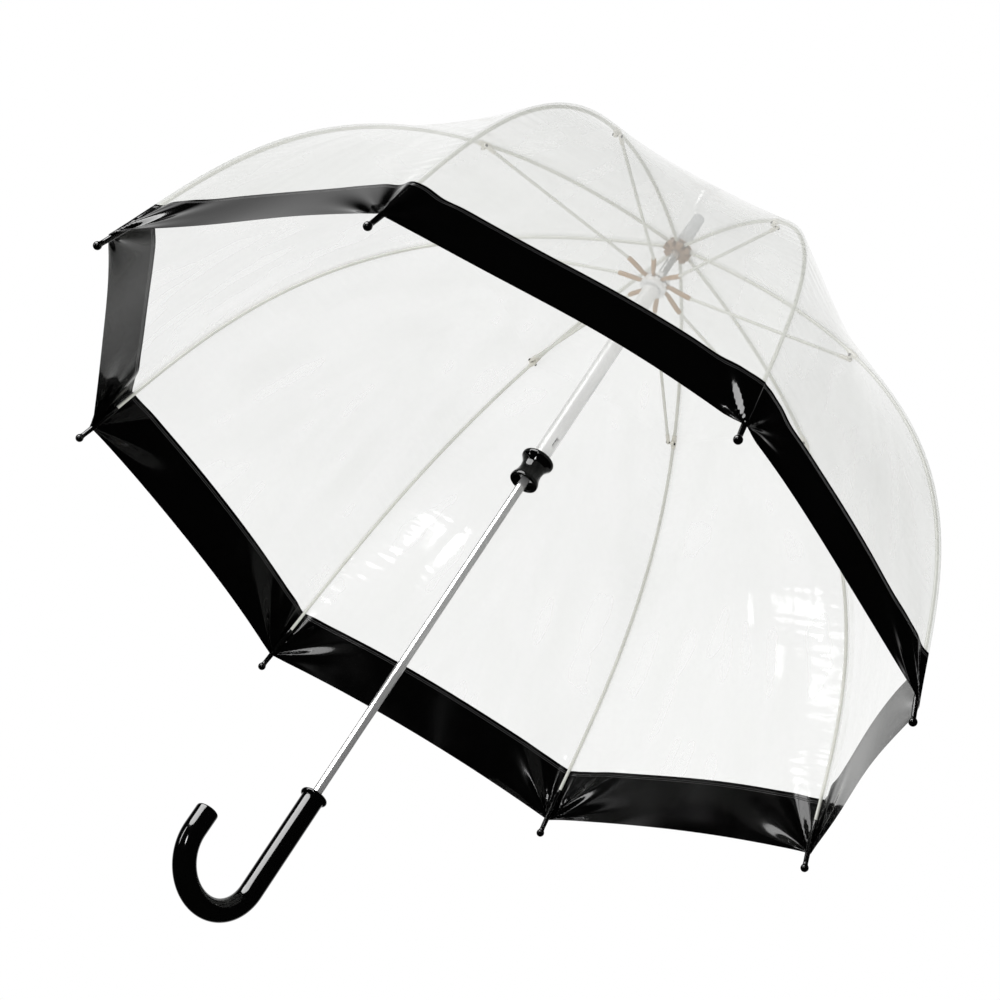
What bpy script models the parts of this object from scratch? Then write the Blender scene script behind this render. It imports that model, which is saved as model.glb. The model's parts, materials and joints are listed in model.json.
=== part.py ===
"""Clear dome stick umbrella with a crook handle, built open, in metres with +Z up the shaft.

The origin is on the shaft's axis at the middle of the straight grip, and the crook bends towards -X.
Each rib is a flexible rod in life. Here it is two rods joined at the clip, so that it can fold flat.
"""

import math

import bmesh
import bpy
import numpy as np
from mathutils import Matrix, Vector

# Driving dimensions, in metres.
RIB_COUNT = 8
FIRST_RIB = math.radians(24.7)  # azimuth of rib 0
RIM_RADIUS = 0.350  # centre of a tip ball from the axis
RIM_Z = 0.253  # plane of the tip balls
NOTCH_RADIUS = 0.0095  # rib pivots from the axis
NOTCH_Z = RIM_Z + 0.3423
CROWN_RADIUS = 0.0090  # stretcher pivots from the axis
CROWN_Z = RIM_Z + 0.3031
JOINT_RADIUS = 0.1775  # rib clip from the axis
LUG = (-0.0040, -0.0030)  # stretcher's pin from the rib joint: along the rib, and out from it
RIB_BULGE = ((0.3094, 0.2930), (0.31535, 0.1043))  # inner control points of a rib, above the rim

RIB_ROD = 0.0014  # radii of the rods
STRETCHER_ROD = 0.0013
STRETCHER_SIDE = 0.0037  # how far a stretcher runs beside its rib
EYE_RADIUS = 0.0019
EYE_BORE = 0.0008
WIRE_RADIUS = 0.00045
SLOT_WIDTH = 0.0034

SHAFT_RADIUS = 0.0035
SHAFT_WALL = 0.0006
SHAFT_FOOT = -0.0030
SHAFT_HEAD = 0.6170
GAP = 0.0003

GRIP_RADIUS = 0.0082
GRIP_TOP = 0.0420
BEND_Z = -0.0410
BEND_RADIUS = 0.0331
HOOK_END = -0.0250
LIP_RADIUS = 0.0100

SPOOL_LOW = 0.3400
SPOOL_HIGH = 0.3650
TUBE_RADIUS = 0.0065
TUBE_LOW = 0.3465
TUBE_HIGH = 0.5500
CATCH_HIGH_Z = 0.3830
CATCH_LOW_Z = 0.0865
CATCH_SLOT = 0.0018

FERRULE_TIP = RIM_Z + 0.3797
FERRULE_FOOT = NOTCH_Z + 0.0026

FILM = 0.0004  # thickness of the canopy solids
FILM_LIFT = 0.0035  # middle of the film from the middle of a rib
FILM_SAG = 0.0090  # how far a gore is drawn in between its ribs
RIM_ARCH = 0.0055  # rise of the rim between two tips
TIP_LENGTH = 0.0387  # from a tip ball's centre to its cap's mouth
TIP_BALL = 0.0032
FILM_END = 0.0125  # edge of the film from a tip ball's centre, along the rib
BORDER_WIDTH = 0.0450

COLOURS = {
    "clear_film": ((0.86, 0.88, 0.90, 0.3), 0.0, 0.08),
    "black_film": ((0.012, 0.012, 0.014, 1.0), 0.0, 0.15),
    "white_rod": ((0.84, 0.83, 0.80, 1.0), 0.0, 0.35),
    "white_plastic": ((0.88, 0.88, 0.86, 1.0), 0.0, 0.25),
    "tan_plastic": ((0.55, 0.42, 0.29, 1.0), 0.0, 0.45),
    "grey_plastic": ((0.62, 0.63, 0.65, 1.0), 0.0, 0.30),
    "black_plastic": ((0.010, 0.010, 0.011, 1.0), 0.0, 0.12),
    "chrome": ((0.80, 0.80, 0.82, 1.0), 1.0, 0.08),
    "wire_steel": ((0.55, 0.55, 0.57, 1.0), 1.0, 0.25),
    "spring_steel": ((0.60, 0.60, 0.63, 1.0), 1.0, 0.25),
}


def clear_scene():
    """Remove every object and material that is already there."""
    for thing in list(bpy.data.objects):
        bpy.data.objects.remove(thing, do_unlink=True)
    for old in list(bpy.data.materials):
        bpy.data.materials.remove(old)


def paint(node, colour_name):
    """Give a node its own plain material."""
    colour, metallic, roughness = COLOURS[colour_name]
    material = bpy.data.materials.new(f"{node.name}_{colour_name}")
    material.use_nodes = True
    shader = material.node_tree.nodes["Principled BSDF"]
    shader.inputs["Base Color"].default_value = colour
    shader.inputs["Metallic"].default_value = metallic
    shader.inputs["Roughness"].default_value = roughness
    shader.inputs["Alpha"].default_value = colour[3]
    material.diffuse_color = colour
    node.data.materials.clear()
    node.data.materials.append(material)


def mesh_from(points, faces):
    """Return a mesh with merged points and outward faces."""
    mesh = bpy.data.meshes.new("shape")
    mesh.from_pydata([tuple(p) for p in points], [], faces)
    shape = bmesh.new()
    shape.from_mesh(mesh)
    bmesh.ops.remove_doubles(shape, verts=shape.verts, dist=1e-7)
    bmesh.ops.recalc_face_normals(shape, faces=shape.faces)
    shape.to_mesh(mesh)
    shape.free()
    return mesh


def add_node(name, mesh, colour_name, pivot=(0.0, 0.0, 0.0)):
    """Add a mesh to the scene with its origin at the pivot."""
    mesh = mesh.copy()
    mesh.name = name
    mesh.transform(Matrix.Translation(-Vector(pivot)))
    node = bpy.data.objects.new(name, mesh)
    node.location = pivot
    bpy.context.scene.collection.objects.link(node)
    paint(node, colour_name)
    return node


def turned(azimuth):
    """Return the turn about Z that takes +X to an azimuth."""
    return Matrix.Rotation(azimuth, 4, "Z")


def combined(mesh, others, operation):
    """Return a mesh joined with others, or cut by them."""
    base = bpy.data.objects.new("base", mesh)
    bpy.context.scene.collection.objects.link(base)
    tools = []
    for other in others:
        tool = bpy.data.objects.new("tool", other)
        tool.hide_render = True
        tool.display_type = "WIRE"
        bpy.context.scene.collection.objects.link(tool)
        step = base.modifiers.new("step", "BOOLEAN")
        step.operation = operation
        step.solver = "EXACT"
        step.object = tool
        tools.append(tool)
    seen = base.evaluated_get(bpy.context.evaluated_depsgraph_get())
    result = bpy.data.meshes.new_from_object(seen)
    for thing in [base, *tools]:
        bpy.data.objects.remove(thing, do_unlink=True)
    shape = bmesh.new()
    shape.from_mesh(result)
    bmesh.ops.remove_doubles(shape, verts=shape.verts, dist=2e-6)
    bmesh.ops.dissolve_degenerate(shape, edges=shape.edges, dist=2e-6)
    shape.to_mesh(result)
    shape.free()
    return result


def joined(mesh, *others):
    """Return the union of meshes."""
    return combined(mesh, others, "UNION")


def cut(mesh, *others):
    """Return a mesh less the others."""
    return combined(mesh, others, "DIFFERENCE")


def lathe(profile, sides, place=None):
    """Turn a closed outline of (radius, height) points about Z, then place it.

    An outline that starts and ends on the axis makes a solid; any other makes a ring.
    """
    solid = profile[0][0] == 0.0
    count = len(profile)
    points = []
    for i in range(sides):
        angle = math.tau * i / sides
        points += [(r * math.cos(angle), r * math.sin(angle), z) for r, z in profile]
    faces = []
    for i in range(sides):
        here = i * count
        there = (i + 1) % sides * count
        for j in range(count - 1 if solid else count):
            k = (j + 1) % count
            corners = [here + j, here + k, there + k, there + j]
            if profile[j][0] == 0.0:
                corners = [j, here + k, there + k]
            if profile[k][0] == 0.0:
                corners = [here + j, k, there + j]
            faces.append(corners)
    mesh = mesh_from(points, faces)
    if place is not None:
        mesh.transform(place)
    return mesh


def sweep(path, half_sizes, sides, side_axis=(0.0, 1.0, 0.0)):
    """Run an oval section along a path: half_sizes gives (along side_axis, across it) at each point."""
    path = np.asarray(path, float)
    ahead = np.gradient(path, axis=0)
    ahead /= np.linalg.norm(ahead, axis=1, keepdims=True)
    points = []
    for at, forward, (wide, deep) in zip(path, ahead, half_sizes):
        side = np.array(side_axis) - forward * float(np.dot(side_axis, forward))
        side /= np.linalg.norm(side)
        up = np.cross(forward, side)
        for i in range(sides):
            angle = math.tau * (i + 0.5) / sides
            points.append(at + side * wide * math.cos(angle) + up * deep * math.sin(angle))
    faces = []
    for ring in range(len(path) - 1):
        for i in range(sides):
            j = (i + 1) % sides
            low = ring * sides
            faces.append([low + i, low + j, low + sides + j, low + sides + i])
    faces.append(list(range(sides)))
    last = (len(path) - 1) * sides
    faces.append(list(range(last, last + sides))[::-1])
    return mesh_from(points, faces)


def box(low, high):
    """Return a box between two corners."""
    points = [(x, y, z) for x in (low[0], high[0]) for y in (low[1], high[1]) for z in (low[2], high[2])]
    faces = [(0, 1, 3, 2), (4, 6, 7, 5), (0, 4, 5, 1), (2, 3, 7, 6), (0, 2, 6, 4), (1, 5, 7, 3)]
    return mesh_from(points, faces)


def plate(outline, half_thickness, place):
    """Thicken an outline of (x, z) points both ways along Y, then place it."""
    count = len(outline)
    points = [(x, -half_thickness, z) for x, z in outline]
    points += [(x, half_thickness, z) for x, z in outline]
    faces = [list(range(count)), list(range(count, 2 * count))[::-1]]
    faces += [(i, (i + 1) % count, count + (i + 1) % count, count + i) for i in range(count)]
    mesh = mesh_from(points, faces)
    mesh.transform(place)
    return mesh


def rib_curve(samples=400):
    """Return points along a rib as (radius, height) rows, and the length up to each."""
    t = np.linspace(0.0, 1.0, samples)[:, None]
    start = np.array([NOTCH_RADIUS, NOTCH_Z])
    first = np.array(RIB_BULGE[0]) + [0.0, RIM_Z]
    second = np.array(RIB_BULGE[1]) + [0.0, RIM_Z]
    end = np.array([RIM_RADIUS, RIM_Z])
    line = (1 - t) ** 3 * start + 3 * (1 - t) ** 2 * t * first
    line = line + 3 * (1 - t) * t**2 * second + t**3 * end
    lengths = np.concatenate([[0.0], np.cumsum(np.linalg.norm(np.diff(line, axis=0), axis=1))])
    return line, lengths


CURVE, LENGTHS = rib_curve()
RIB_LENGTH = float(LENGTHS[-1])
JOINT_AT = float(np.interp(JOINT_RADIUS, CURVE[:, 0], LENGTHS))


def rib_point(at):
    """Return the (radius, height) on a rib at a length from its pivot."""
    return np.array([np.interp(at, LENGTHS, CURVE[:, 0]), np.interp(at, LENGTHS, CURVE[:, 1])])


def rib_direction(at):
    """Return the unit (radius, height) direction of a rib, outwards along it."""
    step = rib_point(min(at + 5e-4, RIB_LENGTH)) - rib_point(max(at - 5e-4, 0.0))
    return step / np.linalg.norm(step)


def lug_point():
    """Return the (radius, height) of the pin that joins a stretcher to its rib."""
    x, z = rib_direction(JOINT_AT)
    return rib_point(JOINT_AT) + LUG[0] * np.array([x, z]) + LUG[1] * np.array([-z, x])


def frame_at(point, direction, side=0.0):
    """Place local X along a direction in the XZ plane, local Z to its left, with Y kept."""
    x, z = direction
    return Matrix(
        ((x, 0.0, -z, point[0]), (0.0, 1.0, 0.0, side), (z, 0.0, x, point[1]), (0.0, 0.0, 0.0, 1.0))
    )


def about_y(point, side=0.0):
    """Place a lathed shape's axis along Y at a (radius, height) point."""
    return Matrix.Translation((point[0], side, point[1])) @ Matrix.Rotation(-math.pi / 2, 4, "X")


def eye_at(point):
    """Return the pierced round end that a ring wire goes through."""
    half = 0.0012
    outline = [(EYE_BORE, -half), (EYE_RADIUS, -half), (EYE_RADIUS, half), (EYE_BORE, half)]
    return lathe(outline, 12, about_y(point))


def round_end(radius, back, steps=9):
    """Outline a bar that runs back along -X from a half-round end about the origin."""
    angles = np.linspace(-math.pi / 2, math.pi / 2, steps)
    outline = [(radius * math.cos(a), radius * math.sin(a)) for a in angles]
    return outline + [(-back, radius), (-back, -radius)]


def rib_path(start, stop, steps):
    """Return points of a rib in the XZ plane between two lengths."""
    return [(p[0], 0.0, p[1]) for p in (rib_point(s) for s in np.linspace(start, stop, steps))]


def upper_rib():
    """Return the rib from its pivot at the notch to the forked clip."""
    joint = rib_point(JOINT_AT)
    path = rib_path(0.00135, JOINT_AT - 0.0045, 9)
    rod = sweep(path, [(RIB_ROD, RIB_ROD)] * len(path), 8)
    place = frame_at(joint, rib_direction(JOINT_AT))
    clip = plate(round_end(0.0021, 0.010), 0.0020, place)
    slot = box((-0.0029, -0.00075, -0.006), (0.004, 0.00075, 0.004))
    slot.transform(place)
    rim = [(0.0, -0.0020), (0.0019, -0.0020), (0.0019, 0.0020), (0.0, 0.0020)]
    lug = lathe(rim, 12, about_y(lug_point()))
    return joined(cut(joined(clip, lug), slot), rod, eye_at(rib_point(0.0)))


def lower_rib():
    """Return the rib from the tongue in the clip to its end inside the tip."""
    joint = rib_point(JOINT_AT)
    path = rib_path(JOINT_AT + 0.0034, RIB_LENGTH - 0.0055, 17)
    rod = sweep(path, [(RIB_ROD, RIB_ROD)] * len(path), 8)
    back = Matrix.Rotation(math.pi, 4, "Y")
    place = frame_at(joint, rib_direction(JOINT_AT + 0.002)) @ back
    tongue = plate(round_end(0.0012, 0.0052), 0.00050, place)
    return joined(rod, tongue)


def tip_cap():
    """Return the long cap over the end of a rib, with a ball at its outer end."""
    end = rib_point(RIB_LENGTH)
    x, z = rib_direction(RIB_LENGTH - 0.005)
    stops = [RIB_LENGTH - back for back in (TIP_LENGTH, 0.0260, 0.0130, 0.0015)]
    path = [(p[0], 0.0, p[1]) for p in (rib_point(s) for s in stops)]
    sleeve = sweep(path, [(r, r) for r in (0.0022, 0.0023, 0.0021, 0.0020)], 10)
    place = frame_at(end, (x, z))
    angles = np.linspace(-math.pi / 2, math.pi / 2, 7)
    ball = [(TIP_BALL * math.cos(a), TIP_BALL * math.sin(a)) for a in angles]
    ball[0], ball[-1] = (0.0, -TIP_BALL), (0.0, TIP_BALL)
    bore = sweep(rib_path(RIB_LENGTH - 0.0420, RIB_LENGTH - 0.0052, 5), [(0.0017, 0.0017)] * 5, 8)
    return cut(joined(sleeve, lathe(ball, 12, place @ Matrix.Rotation(math.pi / 2, 4, "Y"))), bore)


def stretcher():
    """Return a stretcher from its eye at the crown to its eye beside the rib clip."""
    inner = np.array([CROWN_RADIUS, CROWN_Z])
    outer = lug_point()
    reach = float(np.linalg.norm(outer - inner))
    along = (outer - inner) / reach
    stops = [0.00135, 0.0050, 0.0130, 0.0210, 0.0215, 0.0225, reach - 0.001]
    sides = [0.0, 0.0, 0.5 * STRETCHER_SIDE, *[STRETCHER_SIDE] * 4]
    fitting = (0.0012, 0.0017)
    rod = (STRETCHER_ROD, STRETCHER_ROD)
    sizes = [fitting] * 4 + [(0.0014, 0.0017), rod, rod]
    path = [(*(inner + along * d), s) for d, s in zip(stops, sides)]
    path = [(x, y, z) for x, z, y in path]
    body = sweep(path, sizes, 8)
    eye = [(0.0, -0.0013), (0.0019, -0.0013), (0.0019, 0.0012), (0.0011, 0.0012), (0.0009, 0.0017), (0.0, 0.0017)]
    return joined(body, eye_at(inner), lathe(eye, 12, about_y(outer, STRETCHER_SIDE)))


def film_point(across, down):
    """Return a point of the first gore's middle surface.

    across runs 0 to 1 from one rib to the next, and down is the length along the rib from the notch.
    """
    middle = 4 * across * (1 - across)
    share = down / (RIB_LENGTH - FILM_END)
    at = down - RIM_ARCH * middle * max(share, 0.0) ** 2
    if at < 0.0:
        radius, height = NOTCH_RADIUS + at, NOTCH_Z + FILM_LIFT
    else:
        x, z = rib_direction(at)
        radius, height = rib_point(at) + FILM_LIFT * np.array([-z, x])
    turn = math.tau / RIB_COUNT
    pull = FILM_SAG * middle * math.sin(math.pi * min(max(share, 0.0), 1.0) ** 0.8)
    edge = 0.0004 / radius  # leaves a seam gap between neighbours
    low, high = edge, turn - edge
    x = radius * ((1 - across) * math.cos(low) + across * math.cos(high))
    y = radius * ((1 - across) * math.sin(low) + across * math.sin(high))
    inward = pull / radius
    return np.array([x * (1 - inward), y * (1 - inward), height])


def film_panel(start, stop, rows, columns):
    """Return a thin closed panel of the first gore between two lengths along the rib."""
    downs = np.linspace(start, stop, rows)
    acrosses = np.linspace(0.0, 1.0, columns)
    grid = np.array([[film_point(a, d) for a in acrosses] for d in downs])
    normal = np.cross(np.gradient(grid, axis=1), np.gradient(grid, axis=0))
    normal /= np.linalg.norm(normal, axis=2, keepdims=True)
    outer = (grid + normal * FILM / 2).reshape(-1, 3)
    inner = (grid - normal * FILM / 2).reshape(-1, 3)
    count = rows * columns
    faces = []
    for i in range(rows - 1):
        for j in range(columns - 1):
            a = i * columns + j
            quad = [a, a + 1, a + columns + 1, a + columns]
            faces += [quad, [count + q for q in quad[::-1]]]
    ring = [j for j in range(columns)]
    ring += [i * columns + columns - 1 for i in range(1, rows)]
    ring += [(rows - 1) * columns + j for j in range(columns - 2, -1, -1)]
    ring += [i * columns for i in range(rows - 2, 0, -1)]
    for a, b in zip(ring, ring[1:] + ring[:1]):
        faces.append([a, b, count + b, count + a])
    return mesh_from(np.concatenate([outer, inner]), faces)


def ring_wire(radius, height):
    """Return an eight-sided loop of wire whose flats pass through the pivots."""
    corner = radius / math.cos(math.pi / RIB_COUNT)
    sides = 8
    points = []
    for k in range(RIB_COUNT):
        turn = math.tau * (k + 0.5) / RIB_COUNT + FIRST_RIB
        for i in range(sides):
            angle = math.tau * i / sides
            r = corner + WIRE_RADIUS * math.cos(angle)
            points.append((r * math.cos(turn), r * math.sin(turn), height + WIRE_RADIUS * math.sin(angle)))
    faces = []
    for k in range(RIB_COUNT):
        here, there = k * sides, (k + 1) % RIB_COUNT * sides
        for i in range(sides):
            j = (i + 1) % sides
            faces.append([here + i, there + i, there + j, here + j])
    return mesh_from(points, faces)


def slotted_ring(outline, pivot_radius, pivot_z, low, high):
    """Return a lathed ring with one slot for each rod, open outwards between low and high."""
    slots = []
    for k in range(RIB_COUNT):
        slot = box(
            (pivot_radius - 0.0023, -SLOT_WIDTH / 2, pivot_z + low),
            (pivot_radius + 0.010, SLOT_WIDTH / 2, pivot_z + high),
        )
        slot.transform(turned(FIRST_RIB + math.tau * k / RIB_COUNT))
        slots.append(slot)
    return cut(lathe(outline, 24), *slots)


def grooved_outline(bore, rim, low, high, pivot_radius, pivot_z):
    """Outline a ring with a groove round its outside for the wire."""
    floor = pivot_radius - WIRE_RADIUS - GAP
    lip = 0.0008
    return [
        (bore, high),
        (rim, high),
        (rim, pivot_z + lip),
        (floor, pivot_z + lip),
        (floor, pivot_z - lip),
        (rim, pivot_z - lip),
        (rim, low),
        (bore, low),
    ]


def keyways(low, high):
    """Return the two grooves inside the runner that the noses of the catches run in."""
    reach = 0.0049
    return [
        box((-0.0012, -reach, low), (0.0012, -0.0030, high)),
        box((-0.0012, 0.0030, low), (0.0012, reach, high)),
    ]


def crook():
    """Return the handle with its lip, straight grip, bend and hook."""
    ahead = [(0.0, 0.0, z) for z in np.linspace(GRIP_TOP - 0.003, BEND_Z + 0.004, 5)]
    bend = []
    for a in np.linspace(0.0, math.pi, 19):
        bend.append((BEND_RADIUS * (math.cos(a) - 1.0), 0.0, BEND_Z - BEND_RADIUS * math.sin(a)))
    rise = [(-2 * BEND_RADIUS, 0.0, z) for z in (HOOK_END - 0.0060, HOOK_END - 0.0015, HOOK_END)]
    path = ahead + bend + rise
    sizes = [(GRIP_RADIUS, GRIP_RADIUS)] * (len(path) - 1) + [(GRIP_RADIUS - 0.0011, GRIP_RADIUS - 0.0011)]
    body = sweep(path, sizes, 24)
    lip = [
        (0.0, GRIP_TOP),
        (LIP_RADIUS - 0.0010, GRIP_TOP),
        (LIP_RADIUS, GRIP_TOP - 0.0010),
        (LIP_RADIUS, GRIP_TOP - 0.0026),
        (GRIP_RADIUS, GRIP_TOP - 0.0042),
        (0.0, GRIP_TOP - 0.0042),
    ]
    bore_radius = SHAFT_RADIUS + GAP
    bore_foot = SHAFT_FOOT - GAP
    bore = [(0.0, GRIP_TOP + 0.01), (bore_radius, GRIP_TOP + 0.01), (bore_radius, bore_foot), (0.0, bore_foot)]
    return cut(joined(body, lathe(lip, 24)), lathe(bore, 24))


def shaft_tube():
    """Return the tube of the shaft with a slot for each catch."""
    inner = SHAFT_RADIUS - SHAFT_WALL
    outline = [(inner, SHAFT_HEAD), (SHAFT_RADIUS, SHAFT_HEAD), (SHAFT_RADIUS, SHAFT_FOOT), (inner, SHAFT_FOOT)]
    half = CATCH_SLOT / 2
    high = box((-half, -0.006, CATCH_HIGH_Z - 0.0070), (half, -0.001, CATCH_HIGH_Z + 0.0034))
    low = box((-half, 0.001, CATCH_LOW_Z - 0.0034), (half, 0.006, CATCH_LOW_Z + 0.0070))
    return cut(lathe(outline, 28), high, low)


def catch(direction):
    """Return a leaf with a nose that stands out along direction * Y, about its own middle height."""
    outline = [
        (0.0016, 0.0120),
        (0.0025, 0.0120),
        (0.0025, 0.0026),
        (0.0045, 0.0026),
        (0.0045, 0.0012),
        (0.0025, -0.0052),
        (0.0025, -0.0060),
        (0.0016, -0.0060),
    ]
    turn = Matrix.Rotation(direction * math.pi / 2, 4, "Z")
    return plate([(r, -direction * z) for r, z in outline], 0.0006, turn)


def spool():
    """Return the waisted grip of the runner with its hollow foot."""
    waist = [
        (0.0122, SPOOL_HIGH),
        (0.0128, SPOOL_HIGH - 0.0008),
        (0.0128, SPOOL_HIGH - 0.0032),
        (0.0112, SPOOL_HIGH - 0.0050),
        (0.0094, SPOOL_HIGH - 0.0085),
        (0.0089, SPOOL_HIGH - 0.0130),
        (0.0094, SPOOL_HIGH - 0.0170),
        (0.0106, SPOOL_HIGH - 0.0205),
        (0.0112, SPOOL_LOW + 0.0030),
        (0.0112, SPOOL_LOW + 0.0008),
        (0.0106, SPOOL_LOW),
        (0.0092, SPOOL_LOW),
        (0.0080, SPOOL_LOW + 0.0050),
        (TUBE_RADIUS + GAP, SPOOL_LOW + 0.0062),
        (TUBE_RADIUS + GAP, SPOOL_HIGH),
    ]
    return lathe(waist, 24)


def runner_tube():
    """Return the sleeve of the runner with its two windows and keyways."""
    bore = SHAFT_RADIUS + GAP
    outline = [(bore, TUBE_HIGH), (TUBE_RADIUS, TUBE_HIGH), (TUBE_RADIUS, TUBE_LOW), (bore, TUBE_LOW)]
    window = box((-0.0016, -0.010, CATCH_HIGH_Z - 0.0055), (0.0016, 0.010, CATCH_HIGH_Z + 0.0029))
    return cut(lathe(outline, 28), *keyways(TUBE_LOW - 0.001, TUBE_HIGH + 0.001), window)


def ferrule():
    """Return the cap on top of the shaft, with a flat end."""
    outline = [
        (0.0, FERRULE_TIP),
        (0.0042, FERRULE_TIP),
        (0.0053, FERRULE_TIP - 0.0010),
        (0.0062, FERRULE_FOOT + 0.0040),
        (0.0064, FERRULE_FOOT),
        (SHAFT_RADIUS + GAP, FERRULE_FOOT),
        (SHAFT_RADIUS + GAP, SHAFT_HEAD + GAP),
        (0.0, SHAFT_HEAD + GAP),
    ]
    return lathe(outline, 24)


def build_shaft_group():
    """Add the shaft and everything fixed to it."""
    add_node("shaft", shaft_tube(), "chrome")
    add_node("handle_crook", crook(), "black_plastic")
    add_node("ferrule", ferrule(), "grey_plastic")
    bore = SHAFT_RADIUS + GAP
    low, high = NOTCH_Z - 0.0045, NOTCH_Z + 0.0019
    outline = grooved_outline(bore, 0.0112, low, high, NOTCH_RADIUS, NOTCH_Z)
    add_node("top_notch", slotted_ring(outline, NOTCH_RADIUS, NOTCH_Z, -0.010, 0.010), "tan_plastic")
    add_node("notch_wire", ring_wire(NOTCH_RADIUS, NOTCH_Z), "wire_steel")


def build_catches():
    """Add the two sprung catches, each with its origin at its fixed end."""
    high = catch(-1)
    high.transform(Matrix.Translation((0.0, 0.0, CATCH_HIGH_Z)))
    add_node("top_catch", high, "spring_steel", (0.0, -0.00205, CATCH_HIGH_Z + 0.0120))
    low = catch(1)
    low.transform(Matrix.Translation((0.0, 0.0, CATCH_LOW_Z)))
    add_node("bottom_catch", low, "spring_steel", (0.0, 0.00205, CATCH_LOW_Z - 0.0120))


def build_runner():
    """Add the runner: sleeve, spool, crown and wire."""
    add_node("runner_tube", runner_tube(), "white_plastic", (0.0, 0.0, SPOOL_LOW))
    add_node("runner_spool", spool(), "black_plastic", (0.0, 0.0, SPOOL_LOW))
    bore = SHAFT_RADIUS + GAP
    low, high = TUBE_HIGH + GAP, CROWN_Z + 0.0050
    outline = grooved_outline(bore, 0.0106, low, high, CROWN_RADIUS, CROWN_Z)
    crown = slotted_ring(outline, CROWN_RADIUS, CROWN_Z, -0.0024, 0.010)
    crown = cut(crown, *keyways(low - 0.001, high + 0.001))
    add_node("runner_crown", crown, "white_plastic", (0.0, 0.0, CROWN_Z))
    add_node("runner_wire", ring_wire(CROWN_RADIUS, CROWN_Z), "wire_steel", (0.0, 0.0, CROWN_Z))


def build_ribs():
    """Add each rib, tip and stretcher, then each gore and its border."""
    joint = rib_point(JOINT_AT)
    notch_pivot = (NOTCH_RADIUS, 0.0, NOTCH_Z)
    clip_pivot = (joint[0], 0.0, joint[1])
    crown_pivot = (CROWN_RADIUS, 0.0, CROWN_Z)
    rim_at = RIB_LENGTH - FILM_END
    seam_at = rim_at - BORDER_WIDTH
    first_gore = film_panel(-0.0012, seam_at - 0.00015, 14, 9)
    first_border = film_panel(seam_at + 0.00015, rim_at, 4, 9)
    pieces = [
        ("rib_upper", upper_rib(), "white_rod", notch_pivot),
        ("rib_lower", lower_rib(), "white_rod", clip_pivot),
        ("tip", tip_cap(), "black_plastic", clip_pivot),
        ("stretcher", stretcher(), "white_rod", crown_pivot),
        ("gore", first_gore, "clear_film", notch_pivot),
        ("border", first_border, "black_film", clip_pivot),
    ]
    for name, mesh, colour_name, pivot in pieces:
        for k in range(RIB_COUNT):
            turn = turned(FIRST_RIB + math.tau * k / RIB_COUNT)
            copy = mesh.copy()
            copy.transform(turn)
            add_node(f"{name}_{k}", copy, colour_name, tuple(turn @ Vector(pivot)))


def main():
    """Build the whole umbrella."""
    clear_scene()
    build_shaft_group()
    build_catches()
    build_runner()
    build_ribs()


main()
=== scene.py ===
"""Looks of an open clear dome umbrella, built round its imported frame.

The canopy is clear film with a black rim band, on eight white rods. Every sheet of film is a function of
the gore it belongs to, the share of the way from one rib to the next, and the length down the rib.
"""

import json  # noqa: E402
import logging  # noqa: E402
import math  # noqa: E402
from collections.abc import Callable  # noqa: E402
from dataclasses import dataclass  # noqa: E402
from enum import Enum  # noqa: E402

import bmesh  # noqa: E402
import bpy  # noqa: E402
import numpy as np  # noqa: E402
from mathutils import Matrix, Vector  # noqa: E402


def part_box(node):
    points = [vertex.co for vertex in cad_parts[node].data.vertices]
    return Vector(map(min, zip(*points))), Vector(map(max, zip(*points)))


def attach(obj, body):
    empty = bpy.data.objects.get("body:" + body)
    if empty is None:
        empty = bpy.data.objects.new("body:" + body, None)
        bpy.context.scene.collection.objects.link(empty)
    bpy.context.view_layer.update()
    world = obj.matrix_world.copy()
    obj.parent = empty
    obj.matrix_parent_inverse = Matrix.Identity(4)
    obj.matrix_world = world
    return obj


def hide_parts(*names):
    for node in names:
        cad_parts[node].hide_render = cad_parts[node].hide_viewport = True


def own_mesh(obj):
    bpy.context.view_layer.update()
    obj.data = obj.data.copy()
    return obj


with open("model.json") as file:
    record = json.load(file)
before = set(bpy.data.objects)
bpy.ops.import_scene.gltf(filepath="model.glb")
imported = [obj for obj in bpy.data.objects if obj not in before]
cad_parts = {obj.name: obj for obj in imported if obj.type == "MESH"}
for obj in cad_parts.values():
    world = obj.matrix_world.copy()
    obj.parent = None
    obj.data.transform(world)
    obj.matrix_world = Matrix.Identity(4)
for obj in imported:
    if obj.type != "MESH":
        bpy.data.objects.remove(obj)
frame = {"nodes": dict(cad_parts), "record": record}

log = logging.getLogger("umbrella")
Array = np.ndarray
MM = 0.001
SIDEWAYS = np.array([0.0, 1.0, 0.0])  # square to a rib's plane, before the rib is turned to its place
NOSE_IN = 6 * MM  # from a catch's free end to the middle of its nose
TURNED_POLE = (0.55, 0.8)  # a domed end's inner ring: its share of the ring's size and of the dome's height
NOISE_SPAN = (0.3, 0.7)  # where nearly all of a noise's values lie
JOINTS = {joint["name"]: joint for joint in frame["record"]["behaviour"]["joints"]}
RIBS = sum(name.startswith("rib_upper_") and name.endswith("_fold") for name in JOINTS)
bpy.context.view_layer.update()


class Side(Enum):
    """Which half of a gore, or which side of a rib."""

    AHEAD = 1
    BEHIND = -1


class Stretch(Enum):
    """A length of the canopy, from the top down."""

    UPPER = "upper"
    LOWER = "lower"
    BORDER = "border"


# ---------------------------------------------------------------- meshes


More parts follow.
